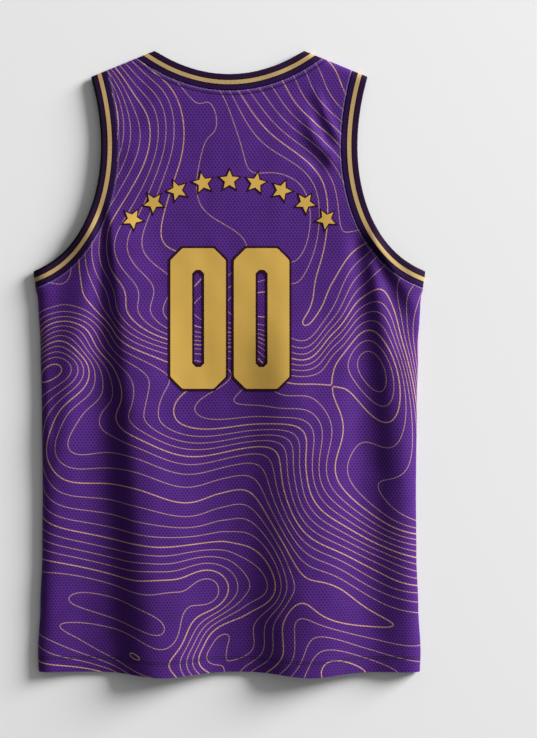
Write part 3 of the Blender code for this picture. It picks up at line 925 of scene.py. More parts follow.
@dataclass(frozen=True)
class StripedRib:
    """Flat rib knit band, knitted with a gold stripe between two thin dark maroon lines."""

    name: str
    # Near-black painted shade along the band's outer edge, where that edge lies in shade. It is drawn only on
    # a band that sets its width.
    painted_edge_shade: str = "#04040C"
    outer: str = "#240E30"
    inner: str = "#220B3C"
    line: str = "#1E0408"
    gold: str = "#B49868"
    seam: str = "#160428"
    painted_edge_shade_to_mm: float = 0.0
    gold_from_mm: float = 7.8
    gold_to_mm: float = 12.9
    line_mm: float = 1.5
    seam_from_mm: float = 19.5
    softness_mm: float = 0.15
    # Real ribs lie about 1 mm apart. They are drawn coarser, so that they show.
    rib_pitch_mm: float = 1.6
    rib_height_mm: float = 0.12
    # Painted shade in the hollows between ribs and painted highlight on their tops, as tones of the colour.
    rib_painted_shade: tuple[float, float] = (0.86, 1.06)
    roughness: float = 0.66
    specular: float = 0.08

    def material(self) -> bpy.types.Material:
        """Makes the rib's material.

        Returns:
            The material.
        """
        # Matt polyester rib: the eye gets fine ribs square to the edge, with painted shade between them, and
        # crisp stripes along it.
        material, tree = new_material(
            self.name, {"Roughness": self.roughness, "Specular IOR Level": self.specular}
        )
        cloth = add_node(tree, "UVMap", output="UV", uv_map=CLOTH_UV)
        along = add_node(tree, "SeparateXYZ", {0: cloth}, "X")
        across = along.node.outputs["Y"]
        # The first stripe is the painted shade along the outer edge.
        colour: object = linear_colour(self.painted_edge_shade)
        for start_mm, code in (
            (self.painted_edge_shade_to_mm, self.outer),
            (self.gold_from_mm - self.line_mm, self.line),
            (self.gold_from_mm, self.gold),
            (self.gold_to_mm, self.line),
            (self.gold_to_mm + self.line_mm, self.inner),
            (self.seam_from_mm, self.seam),
        ):
            low, high = (start_mm - self.softness_mm) * MM, (start_mm + self.softness_mm) * MM
            edge = add_node(tree, "MapRange", {"Value": across, "From Min": low, "From Max": high})
            blend = {0: edge, MIX_A: colour, MIX_B: linear_colour(code)}
            colour = add_node(tree, "Mix", blend, MIX_RESULT, data_type="RGBA")
        pitch = 2 * math.pi / (self.rib_pitch_mm * MM)
        turns = add_node(tree, "Math", {0: along, 1: pitch}, operation="MULTIPLY")
        wave = add_node(tree, "Math", {0: turns}, operation="SINE")
        # The colour follows the ribs' relief: painted shade in the hollows, painted highlight on the tops.
        low, high = self.rib_painted_shade
        bounds = {"From Min": -1.0, "From Max": 1.0, "To Min": low, "To Max": high}
        tone = add_node(tree, "MapRange", {"Value": wave, **bounds})
        toned = add_node(tree, "VectorMath", {0: colour, "Scale": tone}, operation="SCALE")
        relief = add_node(tree, "Math", {0: wave, 1: self.rib_height_mm * MM / 2}, operation="MULTIPLY")
        link_shader(tree, toned, relief)
        return material


@dataclass(frozen=True)
class TackleTwill:
    """Polyester twill, woven, cut and pressed on, in one colour."""

    name: str
    colour: str
    # Real twill has ribs about 0.5 mm apart. They are drawn coarser, so that they show.
    twill_pitch_mm: float = 2.6
    twill_height_mm: float = 0.05
    # Painted shade and highlight along the twill's ribs, as tones of the colour.
    twill_painted_shade: tuple[float, float] = (0.94, 1.05)
    distortion: float = 0.3
    cloud_per_metre: float = 22.0
    cloud_tone: tuple[float, float] = (0.93, 1.07)
    roughness: float = 0.55
    specular: float = 0.35
    sheen: float = 0.05

    def material(self) -> bpy.types.Material:
        """Makes the twill's material.

        Returns:
            The material.
        """
        # Woven polyester: the eye gets a slight silky gleam and fine diagonal ribs with painted shade between
        # them.
        material, tree = new_material(
            self.name,
            {
                "Roughness": self.roughness,
                "Specular IOR Level": self.specular,
                "Sheen Weight": self.sheen,
            },
        )
        place = add_node(tree, "TexCoord", output="Object")
        scale = WAVE_BAND / (self.twill_pitch_mm * MM) / math.sqrt(2)  # The pitch is square to the ribs.
        weave = {"Vector": place, "Scale": scale, "Distortion": self.distortion}
        ribs = add_node(tree, "TexWave", weave, "Fac", bands_direction="DIAGONAL")
        noise = {"Vector": place, "Scale": self.cloud_per_metre, **CLOUD_NOISE}
        cloud = add_node(tree, "TexNoise", noise)
        # The colour follows the ribs' relief, as painted shade and highlight, times a random cloudy tone.
        tones = {}
        for number, (value, (low, high)) in enumerate(((ribs, self.twill_painted_shade), (cloud, self.cloud_tone))):
            tones[number] = add_node(tree, "MapRange", {"Value": value, "To Min": low, "To Max": high})
        tone = add_node(tree, "Math", tones, operation="MULTIPLY")
        base = linear_colour(self.colour)[:3]
        toned = add_node(tree, "VectorMath", {0: base, "Scale": tone}, operation="SCALE")
        relief = add_node(tree, "Math", {0: ribs, 1: self.twill_height_mm * MM}, operation="MULTIPLY")
        link_shader(tree, toned, relief)
        return material


@dataclass(frozen=True)
class SewingThread:
    """Spun polyester thread."""

    colour: str = "#2C1747"
    # The plies of real thread show a ridge about every 0.6 mm. They are drawn coarser, so that they show.
    twist_mm: float = 1.2
    # Painted highlight and shade along the turns of the twist, as tones of the colour.
    tone: tuple[float, float] = (0.75, 1.2)
    roughness: float = 0.5

    def material(self) -> bpy.types.Material:
        """Makes the thread's material.

        Returns:
            The material.
        """
        # Spun polyester: the eye gets a faint gleam, and painted highlight and shade along the turns of the
        # twist.
        material, tree = new_material("spun_polyester_thread", {"Roughness": self.roughness})
        place = add_node(tree, "TexCoord", output="Object")
        turns = {"Vector": place, "Scale": WAVE_BAND / (self.twist_mm * MM), "Distortion": 0.0}
        twist = add_node(tree, "TexWave", turns, "Fac", bands_direction="DIAGONAL")
        low, high = self.tone
        tone = add_node(tree, "MapRange", {"Value": twist, "To Min": low, "To Max": high})
        base = linear_colour(self.colour)[:3]
        link_shader(tree, add_node(tree, "VectorMath", {0: base, "Scale": tone}, operation="SCALE"))
        return material


def deselect_all() -> None:
    """Leaves nothing selected, so that an operator acts only on the piece in hand."""
    bpy.ops.object.select_all(action="DESELECT")


def take_in_hand(piece: bpy.types.Object, *others: bpy.types.Object) -> None:
    """Selects only the pieces named, and puts the first of them in hand.

    Args:
        piece: the piece that an operator acts on or joins others to.
        others: pieces selected with it.
    """
    deselect_all()
    for each in (piece, *others):
        each.select_set(True)
    bpy.context.view_layer.objects.active = piece


def copy_piece(piece: bpy.types.Object) -> bpy.types.Object:
    """Copies a piece with a mesh of its own.

    Args:
        piece: the piece.

    Returns:
        Its copy.
    """
    copy = piece.copy()
    copy.data = piece.data.copy()
    bpy.context.scene.collection.objects.link(copy)
    return copy


def set_points(mesh: bpy.types.Mesh, points: np.ndarray) -> None:
    """Moves every point of a mesh to its place."""
    mesh.vertices.foreach_set("co", np.ascontiguousarray(points, dtype=np.float32).ravel())
    mesh.update()


def get_points(mesh: bpy.types.Mesh) -> np.ndarray:
    """Finds the place of every point of a mesh.

    Args:
        mesh: the mesh.

    Returns:
        Places as an array of points by x, y and z.
    """
    found = np.empty(len(mesh.vertices) * 3, dtype=np.float32)
    mesh.vertices.foreach_get("co", found)
    return found.reshape(-1, 3).astype(float)


def corner_points(mesh: bpy.types.Mesh) -> np.ndarray:
    """Finds the number of the point at each face corner.

    Args:
        mesh: the mesh.

    Returns:
        One number for each corner.
    """
    found = np.empty(len(mesh.loops), dtype=np.int32)
    mesh.loops.foreach_get("vertex_index", found)
    return found


def set_cloth_uv(mesh: bpy.types.Mesh, per_corner: np.ndarray) -> None:
    """Gives a mesh the map of its flat cloth as its only map.

    Args:
        mesh: the mesh.
        per_corner: place on the flat cloth at each face corner, in metres.
    """
    while mesh.uv_layers:
        mesh.uv_layers.remove(mesh.uv_layers[0])
    layer = mesh.uv_layers.new(name=CLOTH_UV)
    layer.uv.foreach_set("vector", np.ascontiguousarray(per_corner, dtype=np.float32).ravel())


def distances_from(line: np.ndarray, places: np.ndarray) -> np.ndarray:
    """Distance of each place from the nearest point of a line.

    Args:
        line: closely spaced points, by x and y.
        places: places, by x and y.

    Returns:
        One distance for each place, in metres.
    """
    tree = KDTree(len(line))
    for number, (x, y) in enumerate(line):
        tree.insert((x, y, 0.0), number)
    tree.balance()
    return np.array([tree.find((x, y, 0.0))[2] for x, y in places])


def closed_ring(points: np.ndarray) -> bpy.types.Object:
    """Makes a closed ring of a given section, with its faces outwards.

    Args:
        points: array of stations round the ring by points of the section by x, y and z.

    Returns:
        The ring, in hand.
    """
    count, parts = points.shape[:2]
    deselect_all()
    bpy.ops.mesh.primitive_torus_add(major_segments=count, minor_segments=parts, generate_uvs=False)
    ring = bpy.context.active_object
    set_points(ring.data, points.reshape(-1, 3))
    bpy.ops.object.mode_set(mode="EDIT")
    bpy.ops.mesh.select_all(action="SELECT")
    bpy.ops.mesh.normals_make_consistent(inside=False)
    bpy.ops.object.mode_set(mode="OBJECT")
    return ring


def finish_piece(
    name: str,
    finish: bpy.types.Material | None = None,
    nodes: tuple[str, ...] = (),
    crease: float | None = None,
) -> bpy.types.Object:
    """Names, shades, dresses and hangs the piece in hand on the part.

    Args:
        name: name of the piece.
        finish: its material, where it has none yet.
        nodes: CAD nodes that the piece stands for.
        crease: angle in degrees past which an edge stays sharp, where it isn't shaded yet.

    Returns:
        The piece.
    """
    piece = bpy.context.active_object
    piece.name = name
    piece.data.name = name
    if crease is not None:
        bpy.ops.object.shade_smooth_by_angle(angle=math.radians(crease))
    if finish is not None:
        piece.data.materials.append(finish)
    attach(piece, BODY)
    if nodes:
        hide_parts(*nodes)
    LOG.info("%s: %d faces", name, len(piece.data.polygons))
    return piece


@dataclass
class Panel:
    """The back or the front: one sheet of mesh cloth cut to its outline and laid over its solid."""

    lie: ClothLie
    finish: bpy.types.Material
    facing: ClassVar[Facing] = Facing.UP
    # Steps along the neckline and round its turn, and along the armhole and round its two turns.
    neck_steps: tuple[int, int] = (40, 5)
    armhole_steps: tuple[int, tuple[int, int]] = (70, (8, 10))
    side_rows: int = 116
    inner_columns: int = 42
    side_columns: int = 12
    thickness: float = 0.0012
    crease: float = 50.0
    merge_distance: float = 1e-6
    # Closer steps along the two seams, for the distances from them.
    neck_seam_steps: tuple[int, int] = (500, 40)
    armhole_seam_steps: tuple[int, tuple[int, int]] = (900, (40, 60))

    @property
    def layer(self) -> Layer:
        """Outline of this panel's layer."""
        return self.lie.cut.layer(self.facing)

    @property
    def inset(self) -> np.ndarray:
        """Inset of the panel from the finished edge, as the one line that it takes."""
        return np.array([self.lie.cut.panel_inset])

    def outer_edge(self) -> np.ndarray:
        """Walks down the right edge, along the armhole and the side to the hem.

        Returns:
            Points by x and y.
        """
        cut = self.lie.cut
        armhole = cut.armhole_lines(self.layer, self.inset, *self.armhole_steps)[0]
        side_y = np.linspace(armhole[-1, 1], cut.hem_y, self.side_rows + 1)[1:]
        return np.vstack((armhole, np.stack((cut.half_width(side_y), side_y), axis=-1)))

    def right_half(self) -> np.ndarray:
        """Places of the right half of the back, whose columns run down from the neck and the shoulder.

        Returns:
            Array of rows, from the top edge to the hem, by columns, from the middle outwards, by x and y.
        """
        cut, layer, edge = self.lie.cut, self.layer, self.outer_edge()
        neck = cut.neck_lines(layer, self.inset, *self.neck_steps)[0]
        edge_x, edge_y = edge[:, :1], edge[:, 1:]
        tip_x, tip_y = edge[0]
        share = np.linspace(0.0, 1.0, self.inner_columns + 1)[1:]
        turn = cut.turn_distances(layer.side_radius, self.side_columns)[::-1][1:]
        fixed = np.concatenate((neck[:, 0], neck[-1, 0] * (1 - share) - layer.side_radius * share, -turn))
        moving = np.concatenate((np.zeros(len(neck)), share, np.ones(len(turn))))
        top_x = fixed + moving * tip_x
        top_y = np.concatenate((neck[:, 1], cut.shoulder_line(top_x[len(neck) :])))

        x = fixed + moving * edge_x
        middle_y = edge_y.copy()
        first_even = self.armhole_steps[1][0]
        evenly = np.linspace(0.0, 1.0, len(edge) - first_even)[:, None]
        middle_y[first_even:] = edge_y[first_even] + (cut.hem_y - edge_y[first_even]) * evenly
        row_y = middle_y + (edge_y - middle_y) * (x / edge_x) ** 2
        y = row_y + (top_y - tip_y) * (row_y - cut.hem_y) / (tip_y - cut.hem_y)
        return np.stack((x, y), axis=-1)

    def places(self) -> np.ndarray:
        """Places of the sheet's points on the table, let down to the hem line below the underarms.

        Returns:
            Array of rows, from the hem to the top edge, by columns, so that the faces point outwards.
        """
        cut, right = self.lie.cut, self.right_half()
        both = np.concatenate((right[:, ::-1] * (-1.0, 1.0), right), axis=1)
        x, y = both[..., 0], both[..., 1]
        let_down = np.clip((cut.underarm[1] - y) / (cut.underarm[1] - cut.hem_y), 0.0, 1.0)
        both[..., 1] += let_down * (cut.hem_line(x) - cut.hem_y)
        return both[::-1, :: self.facing.value]

    def cloth_map(self, points: np.ndarray) -> np.ndarray:
        """Flat map of the cloth: the length along each row from the middle, and the place up the body.

        Args:
            points: points of the sheet, by rows, columns and x, y and z.

        Returns:
            The map, by rows, columns and its two directions, in metres.
        """
        half = points.shape[1] // 2
        lengths = []
        for part in (points[:, half - 1 :: -1], points[:, half:]):
            steps = np.hypot(np.diff(part[..., 0], axis=1), np.diff(part[..., 2], axis=1))
            run = np.cumsum(np.concatenate((np.abs(part[:, :1, 0]), steps), axis=1), axis=1)
            lengths.append(run * np.sign(part[0, -1, 0]))
        return np.stack((np.concatenate((lengths[0][:, ::-1], lengths[1]), axis=1), points[..., 1]), axis=-1)

    def edge_distances(self, places: np.ndarray) -> dict[str, np.ndarray]:
        """Distances of places from the neck's seam, the nearer armhole's seam and the hem.

        Args:
            places: places of the sheet's points, by rows, columns and x and y.

        Returns:
            One distance for each place, by the name of the attribute that keeps it.
        """
        cut, flat = self.lie.cut, places.reshape(-1, 2)
        neck = mirrored(cut.neck_lines(self.layer, self.inset, *self.neck_seam_steps)[0])
        armhole = cut.armhole_lines(self.layer, self.inset, *self.armhole_seam_steps)[0]
        return {
            FROM_NECK: distances_from(neck, flat),
            FROM_ARMHOLE: distances_from(np.vstack((armhole, armhole * (-1.0, 1.0))), flat),
            FROM_HEM: flat[:, 1] - cut.hem_line(flat[:, 0]),
        }

    def join_halves(self, mesh: bpy.types.Mesh, columns: int) -> None:
        """Opens the strip between the two halves and joins them where they meet.

        Args:
            mesh: the sheet in hand.
            columns: columns of its grid.
        """
        column = corner_points(mesh).reshape(-1, 4) % columns
        between = (column.min(axis=1) == columns // 2 - 1) & (column.max(axis=1) == columns // 2)
        bpy.ops.object.mode_set(mode="EDIT")
        bpy.ops.mesh.select_mode(type="FACE")
        bpy.ops.mesh.select_all(action="DESELECT")
        bpy.ops.object.mode_set(mode="OBJECT")
        mesh.polygons.foreach_set("select", between)
        bpy.ops.object.mode_set(mode="EDIT")
        bpy.ops.mesh.delete(type="FACE")
        bpy.ops.mesh.select_all(action="SELECT")
        bpy.ops.mesh.remove_doubles(threshold=self.merge_distance)
        bpy.ops.object.mode_set(mode="OBJECT")

    def build(self) -> bpy.types.Object:
        """Models, dresses and hangs the panel.

        Returns:
            The panel.
        """
        places = self.places()
        rows, columns = places.shape[:2]
        points, _ = self.lie.surface(self.layer, places, seam_gap=self.lie.cut.seam_gap)
        deselect_all()
        bpy.ops.mesh.primitive_grid_add(x_subdivisions=columns - 1, y_subdivisions=rows - 1, size=1.0)
        piece = bpy.context.active_object
        mesh = piece.data
        set_points(mesh, points.reshape(-1, 3))
        set_cloth_uv(mesh, self.cloth_map(points).reshape(-1, 2)[corner_points(mesh)])
        for name, values in self.edge_distances(places).items():
            attribute = mesh.attributes.new(name, "FLOAT", "POINT")
            attribute.data.foreach_set("value", values.astype(np.float32))
        self.join_halves(mesh, columns)
        wall = piece.modifiers.new("wall", "SOLIDIFY")
        wall.thickness, wall.offset = self.thickness, -1.0
        bpy.ops.object.modifier_apply(modifier="wall")
        layer_name = self.layer.name
        nodes = (f"{layer_name}_panel",)
        return finish_piece(f"{layer_name}_mesh_cloth", self.finish, nodes, self.crease)


@dataclass
class FrontPanel(Panel):
    """The front, which lies flat on the table. Its deep neckline is walked by rows, as one side."""

    facing: ClassVar[Facing] = Facing.DOWN
    neck_steps: tuple[int, int] = (26, 6)
    armhole_steps: tuple[int, tuple[int, int]] = (40, (6, 6))
    side_rows: int = 50
    inner_columns: int = 28
    side_columns: int = 6
    underarm_row_start_y: float = 0.0

    def right_half(self) -> np.ndarray:
        """Places of the right half of the front, whose rows run out from the neckline and the middle.

        Returns:
            Array of rows, from the top edge to the hem, by columns, from the middle outwards, by x and y.
        """
        cut, layer, edge = self.lie.cut, self.layer, self.outer_edge()
        neck = cut.neck_lines(layer, self.inset, *self.neck_steps)[0][::-1]
        underarm_row = self.armhole_steps[0] + sum(self.armhole_steps[1])
        turning_rows = (len(neck) - 1, underarm_row, len(edge) - 1)
        turning_heights = (neck[-1, 1], self.underarm_row_start_y, cut.hem_y)
        centre_y = np.interp(np.arange(len(neck), len(edge)), turning_rows, turning_heights)
        start = np.vstack((neck, np.stack((np.zeros_like(centre_y), centre_y), axis=-1)))
        start_x, start_y, edge_x, edge_y = start[:, :1], start[:, 1:], edge[:, :1], edge[:, 1:]
        share = np.linspace(0.0, 1.0, self.inner_columns + 1)
        turn = cut.turn_distances(layer.side_radius, self.side_columns)[::-1][1:]
        inner_x = start_x + (edge_x - layer.side_radius - start_x) * share
        x = np.concatenate((inner_x, edge_x - turn), axis=1)
        y = start_y + (edge_y - start_y) * (x - start_x) / (edge_x - start_x)
        return np.stack((x, y), axis=-1)


@dataclass
class Band:
    """A ribbed band as one closed ring, folded over at its finished edge."""

    lie: ClothLie
    name: str
    node: str
    finish: bpy.types.Material
    stations: Callable[[Layer, np.ndarray], np.ndarray]
    thickness: float = 0.0020
    rise: float = 0.0004
    # How far the corners of its sewn edge are cut, across and down.
    bevel: tuple[float, float] = (0.0003, 0.0004)
    face_steps: int = 18
    roll_steps: int = 8
    crease: float = 60.0

    def section(self) -> np.ndarray:
        """Outline of the band cut across.

        Returns:
            Points by their distance from the finished edge and their depth below the band's face.
        """
        radius, width = self.thickness / 2, self.lie.cut.band_width
        face = np.linspace(radius, width - self.bevel[0], self.face_steps)
        angles = np.linspace(0.0, math.pi, self.roll_steps + 1)[1:-1]
        roll = np.stack((radius * (1 - np.sin(angles)), radius * (1 + np.cos(angles))), axis=-1)
        top = np.stack((face, np.zeros_like(face)), axis=-1)
        edge = np.array([(width, self.bevel[1]), (width, self.thickness - self.bevel[1])])
        under = np.stack((face[::-1], np.full_like(face, self.thickness)), axis=-1)
        return np.vstack((top, edge, under, roll))

    def build(self) -> bpy.types.Object:
        """Models, dresses and hangs the band.

        Returns:
            The band.
        """
        across, depth = self.section().T
        lines = []
        for facing, rise in ((Facing.UP, self.rise), (Facing.DOWN, 0.0)):
            layer = self.lie.cut.layer(facing)
            outer, normal = self.lie.surface(layer, self.stations(layer, across), rise=rise)
            lines.append(outer - normal * depth[:, None, None])
        ring = np.concatenate((lines[0], lines[1][:, -2:0:-1]), axis=1).transpose(1, 0, 2)
        count, parts = ring.shape[:2]
        mesh = closed_ring(ring).data

        middle = ring[:, self.face_steps // 2]
        lengths = np.linalg.norm(np.roll(middle, -1, axis=0) - middle, axis=1)
        along = np.concatenate(([0.0], np.cumsum(lengths)))
        corners = corner_points(mesh)
        station, part = corners // parts, corners % parts
        by_face = station.reshape(-1, 4)
        wraps = (by_face.max(axis=1) == count - 1) & (by_face.min(axis=1) == 0)
        station = np.where(np.repeat(wraps, 4) & (station == 0), count, station)
        set_cloth_uv(mesh, np.stack((along[station], across[part]), axis=-1))
        return finish_piece(self.name, self.finish, (self.node,), self.crease)


@dataclass
class Stitching:
    """Rows of short stitches sunk into the cloth, one stitch modelled and copied along each row."""

    lie: ClothLie
    name: str
    finish: bpy.types.Material
    rows: list[np.ndarray]
    pitch: float = 0.0032
    size: tuple[float, float, float] = (0.0026, 0.0006, 0.0004)
    segments: int = 6
    rings: int = 5
    look_ahead: float = 0.0004

    def frames(self, row: np.ndarray) -> tuple[np.ndarray, np.ndarray]:
        """Places and directions of the stitches along a row.

        Args:
            row: places of the row on the table, close together.

        Returns:
            The middle of each stitch, and for each its directions along, across and out of the cloth.
        """
        points, normals = self.lie.surface(self.lie.cut.layer(Facing.UP), row)
        run = np.concatenate(([0.0], np.cumsum(np.linalg.norm(np.diff(points, axis=0), axis=1))))
        count = int(run[-1] / self.pitch)
        at = (np.arange(count) + 0.5) * run[-1] / count

        def between(lengths: np.ndarray, values: np.ndarray) -> np.ndarray:
            """Values at the given lengths along the row."""
            return np.stack([np.interp(lengths, run, part) for part in values.T], axis=-1)

        middle, out = between(at, points), unit(between(at, normals))
        along = unit(between(at + self.look_ahead, points) - middle)
        return middle, np.stack((along, np.cross(out, along), out), axis=1)

    def build(self) -> bpy.types.Object:
        """Models, dresses and hangs the rows of stitches.

        Returns:
            The stitches as one piece.
        """
        deselect_all()
        bpy.ops.mesh.primitive_uv_sphere_add(segments=self.segments, ring_count=self.rings, radius=0.5)
        first = bpy.context.active_object
        bpy.ops.transform.resize(value=self.size)
        bpy.ops.object.transform_apply(location=False, rotation=False, scale=True)
        bpy.ops.object.shade_smooth()
        shape = get_points(first.data)
        copies = []
        for row in self.rows:
            for middle, axes in zip(*self.frames(row)):
                copies.append(copy_piece(first))
                set_points(copies[-1].data, middle + shape @ axes)
        bpy.data.objects.remove(first, do_unlink=True)
        take_in_hand(*copies)
        bpy.ops.object.join()
        return finish_piece(self.name, self.finish)


@dataclass(kw_only=True)
class PressedTwill:
    """Twill pressed onto the back, as a gold shape on a wider dark one."""

    lie: ClothLie
    gold: bpy.types.Material
    backing: bpy.types.Material
    film: float = 0.0004
    gap: float = 0.0001
    # The gold film sinks a little into the dark one, so that no gap shows.
    film_share: float = 0.8
    crease: float = 40.0

    @property
    def gold_bottom(self) -> float:
        """Height of the gold film's underside above the cloth."""
        return self.gap + self.film * self.film_share

    def stack(self, under: bpy.types.Object, over: bpy.types.Object) -> bpy.types.Object:
        """Dresses the dark shape and the gold one and joins them.

        Args:
            under: the dark shape.
            over: the gold shape.

        Returns:
            The two as one flat shape.
        """
        under.data.materials.append(self.backing)
        over.data.materials.append(self.gold)
        take_in_hand(over, under)
        bpy.ops.object.join()
        return over

    def press(
        self, shape: bpy.types.Object, name: str, middle: tuple[float, float], turn: float = 0.0
    ) -> bpy.types.Object:
        """Lays a flat shape over the cloth and hangs it on the part.

        Args:
            shape: the shape at the origin, with its heights above the cloth.
            name: name of the piece.
            middle: place of its middle, by x and y.
            turn: how far it is turned anticlockwise, in radians.

        Returns:
            The piece.
        """
        flat = get_points(shape.data)
        cosine, sine = math.cos(turn), math.sin(turn)
        places = flat[:, :2] @ np.array(((cosine, sine), (-sine, cosine))) + middle
        points, normals = self.lie.surface(self.lie.cut.layer(Facing.UP), places)
        set_points(shape.data, points + normals * flat[:, 2:])
        take_in_hand(shape)
        return finish_piece(name, crease=self.crease)


@dataclass(kw_only=True)
class BlockZero(PressedTwill):
    """A block numeral nought with chamfered corners, as a gold ring on a wider dark one."""

    name: str
    middle: tuple[float, float]
    width: float = 0.0690
    height: float = 0.1750
    stroke: float = 0.0270
    # Length cut off each corner and radius of what is left of it, on the outer edge and on the inner.
    outer_corner: tuple[float, float] = (0.0150, 0.0050)
    inner_corner: tuple[float, float] = (0.0045, 0.0020)
    # How much longer that cut gets for each metre that the outline moves out.
    corner_growth: float = 0.59
    half_turn: float = math.radians(22.5)
    border: float = 0.0028
    corner_steps: int = 5
    edge_steps: int = 9
    stroke_steps: int = 12

    def octagon(self, inset: float, chamfer: float, rounding: float) -> np.ndarray:
        """Outline of a nought's edge, walked anticlockwise.

        Args:
            inset: distance inside the outer edge.
            chamfer: length cut off each corner along both sides.
            rounding: radius of each corner.

        Returns:
            Points as an array of x and y.
        """
        half_w, half_h = self.width / 2 - inset, self.height / 2 - inset
        first = [(half_w, half_h - chamfer), (half_w - chamfer, half_h)]
        corners = first + [(-x, y) for x, y in reversed(first)]
        corners += [(-x, -y) for x, y in first] + [(x, -y) for x, y in reversed(first)]
        points = np.array(corners)
        back, ahead = unit(np.roll(points, 1, axis=0) - points), unit(np.roll(points, -1, axis=0) - points)
        reach = rounding * math.tan(self.half_turn)
        outline = []
        for number, point in enumerate(points):
            start, end = point + back[number] * reach, point + ahead[number] * reach
            for t in np.linspace(0.0, 1.0, self.corner_steps):
                outline.append(start * (1 - t) ** 2 + point * 2 * t * (1 - t) + end * t * t)
            after = (number + 1) % len(points)
            following = points[after] + back[after] * reach
            for t in np.linspace(0.0, 1.0, self.edge_steps + 2)[1:-1]:
                outline.append(end + (following - end) * t)
        return np.array(outline)

    def ring(self, grow: float, bottom: float) -> bpy.types.Object:
        """One flat ring of the nought.

        Args:
            grow: how far it reaches past the nought's own edges.
            bottom: height of its underside above the cloth.

        Returns:
            The ring, flat and at the origin.
        """
        chamfer, rounding = self.outer_corner
        outer = self.octagon(-grow, chamfer + grow * self.corner_growth, rounding)
        inner = self.octagon(self.stroke + grow, *self.inner_corner)
        steps = np.linspace(0.0, 1.0, self.stroke_steps)
        shares = np.concatenate((steps, steps[::-1]))[:, None]
        heights = np.repeat((bottom + self.film, bottom), self.stroke_steps)
        flat = outer[:, None] + (inner - outer)[:, None] * shares
        lifted = np.broadcast_to(heights[:, None], (*flat.shape[:2], 1))
        return closed_ring(np.concatenate((flat, lifted), axis=-1))

    def build(self) -> bpy.types.Object:
        """Models, dresses and hangs the numeral.

        Returns:
            The numeral.
        """
        under, over = self.ring(self.border, self.gap), self.ring(0.0, self.gold_bottom)
        return self.press(self.stack(under, over), self.name, self.middle)


@dataclass(kw_only=True)
class StarArc(PressedTwill):
    """An arc of plain five-pointed stars, each a gold star on a wider dark one."""

    centre: tuple[float, float] = (0.0004, 0.0545)
    radius: float = 0.1736
    half_angle: float = math.radians(44)
    count: int = 9
    tips: int = 5
    reach: float = 0.0165
    waist: float = 0.46
    border: float = 0.0016
    cuts: int = 3

    def star(self, reach: float, bottom: float) -> bpy.types.Object:
        """One flat star at the origin, upright.

        Args:
            reach: distance of its points from its middle.
            bottom: height of its underside above the cloth.

        Returns:
            The star.
        """
        deselect_all()
        bpy.ops.mesh.primitive_circle_add(vertices=2 * self.tips, radius=reach, fill_type="TRIFAN")
        piece = bpy.context.active_object
        points = get_points(piece.data)
        rim = np.hypot(points[:, 0], points[:, 1]) > reach / 2
        waist = np.cos(self.tips * (np.arctan2(points[:, 1], points[:, 0]) - math.pi / 2)) < 0
        points *= np.where(rim & waist, self.waist, 1.0)[:, None]
        points[:, 2] = bottom
        set_points(piece.data, points)
        bpy.ops.object.mode_set(mode="EDIT")
        bpy.ops.mesh.select_all(action="SELECT")
        bpy.ops.mesh.subdivide(number_cuts=self.cuts)
        bpy.ops.object.mode_set(mode="OBJECT")
        film = piece.modifiers.new("film", "SOLIDIFY")
        film.thickness, film.offset = self.film, 1.0
        bpy.ops.object.modifier_apply(modifier="film")
        return piece

    def build(self) -> list[bpy.types.Object]:
        """Models, dresses and hangs the stars.

        Returns:
            The stars from left to right.
        """
        corner = math.pi / self.tips
        side = math.sqrt(1 + self.waist**2 - 2 * self.waist * math.cos(corner))
        edge_distance = self.reach * self.waist * math.sin(corner) / side
        gold_reach = self.reach * (edge_distance - self.border) / edge_distance
        under = self.star(self.reach, self.gap)
        first = self.stack(under, self.star(gold_reach, self.gold_bottom))
        stars = []
        for number, angle in enumerate(np.linspace(self.half_angle, -self.half_angle, self.count)):
            x = self.centre[0] - self.radius * math.sin(angle)
            y = self.centre[1] + self.radius * math.cos(angle)
            stars.append(self.press(copy_piece(first), f"star_{number + 1}", (x, y), angle))
        bpy.data.objects.remove(first, do_unlink=True)
        return stars


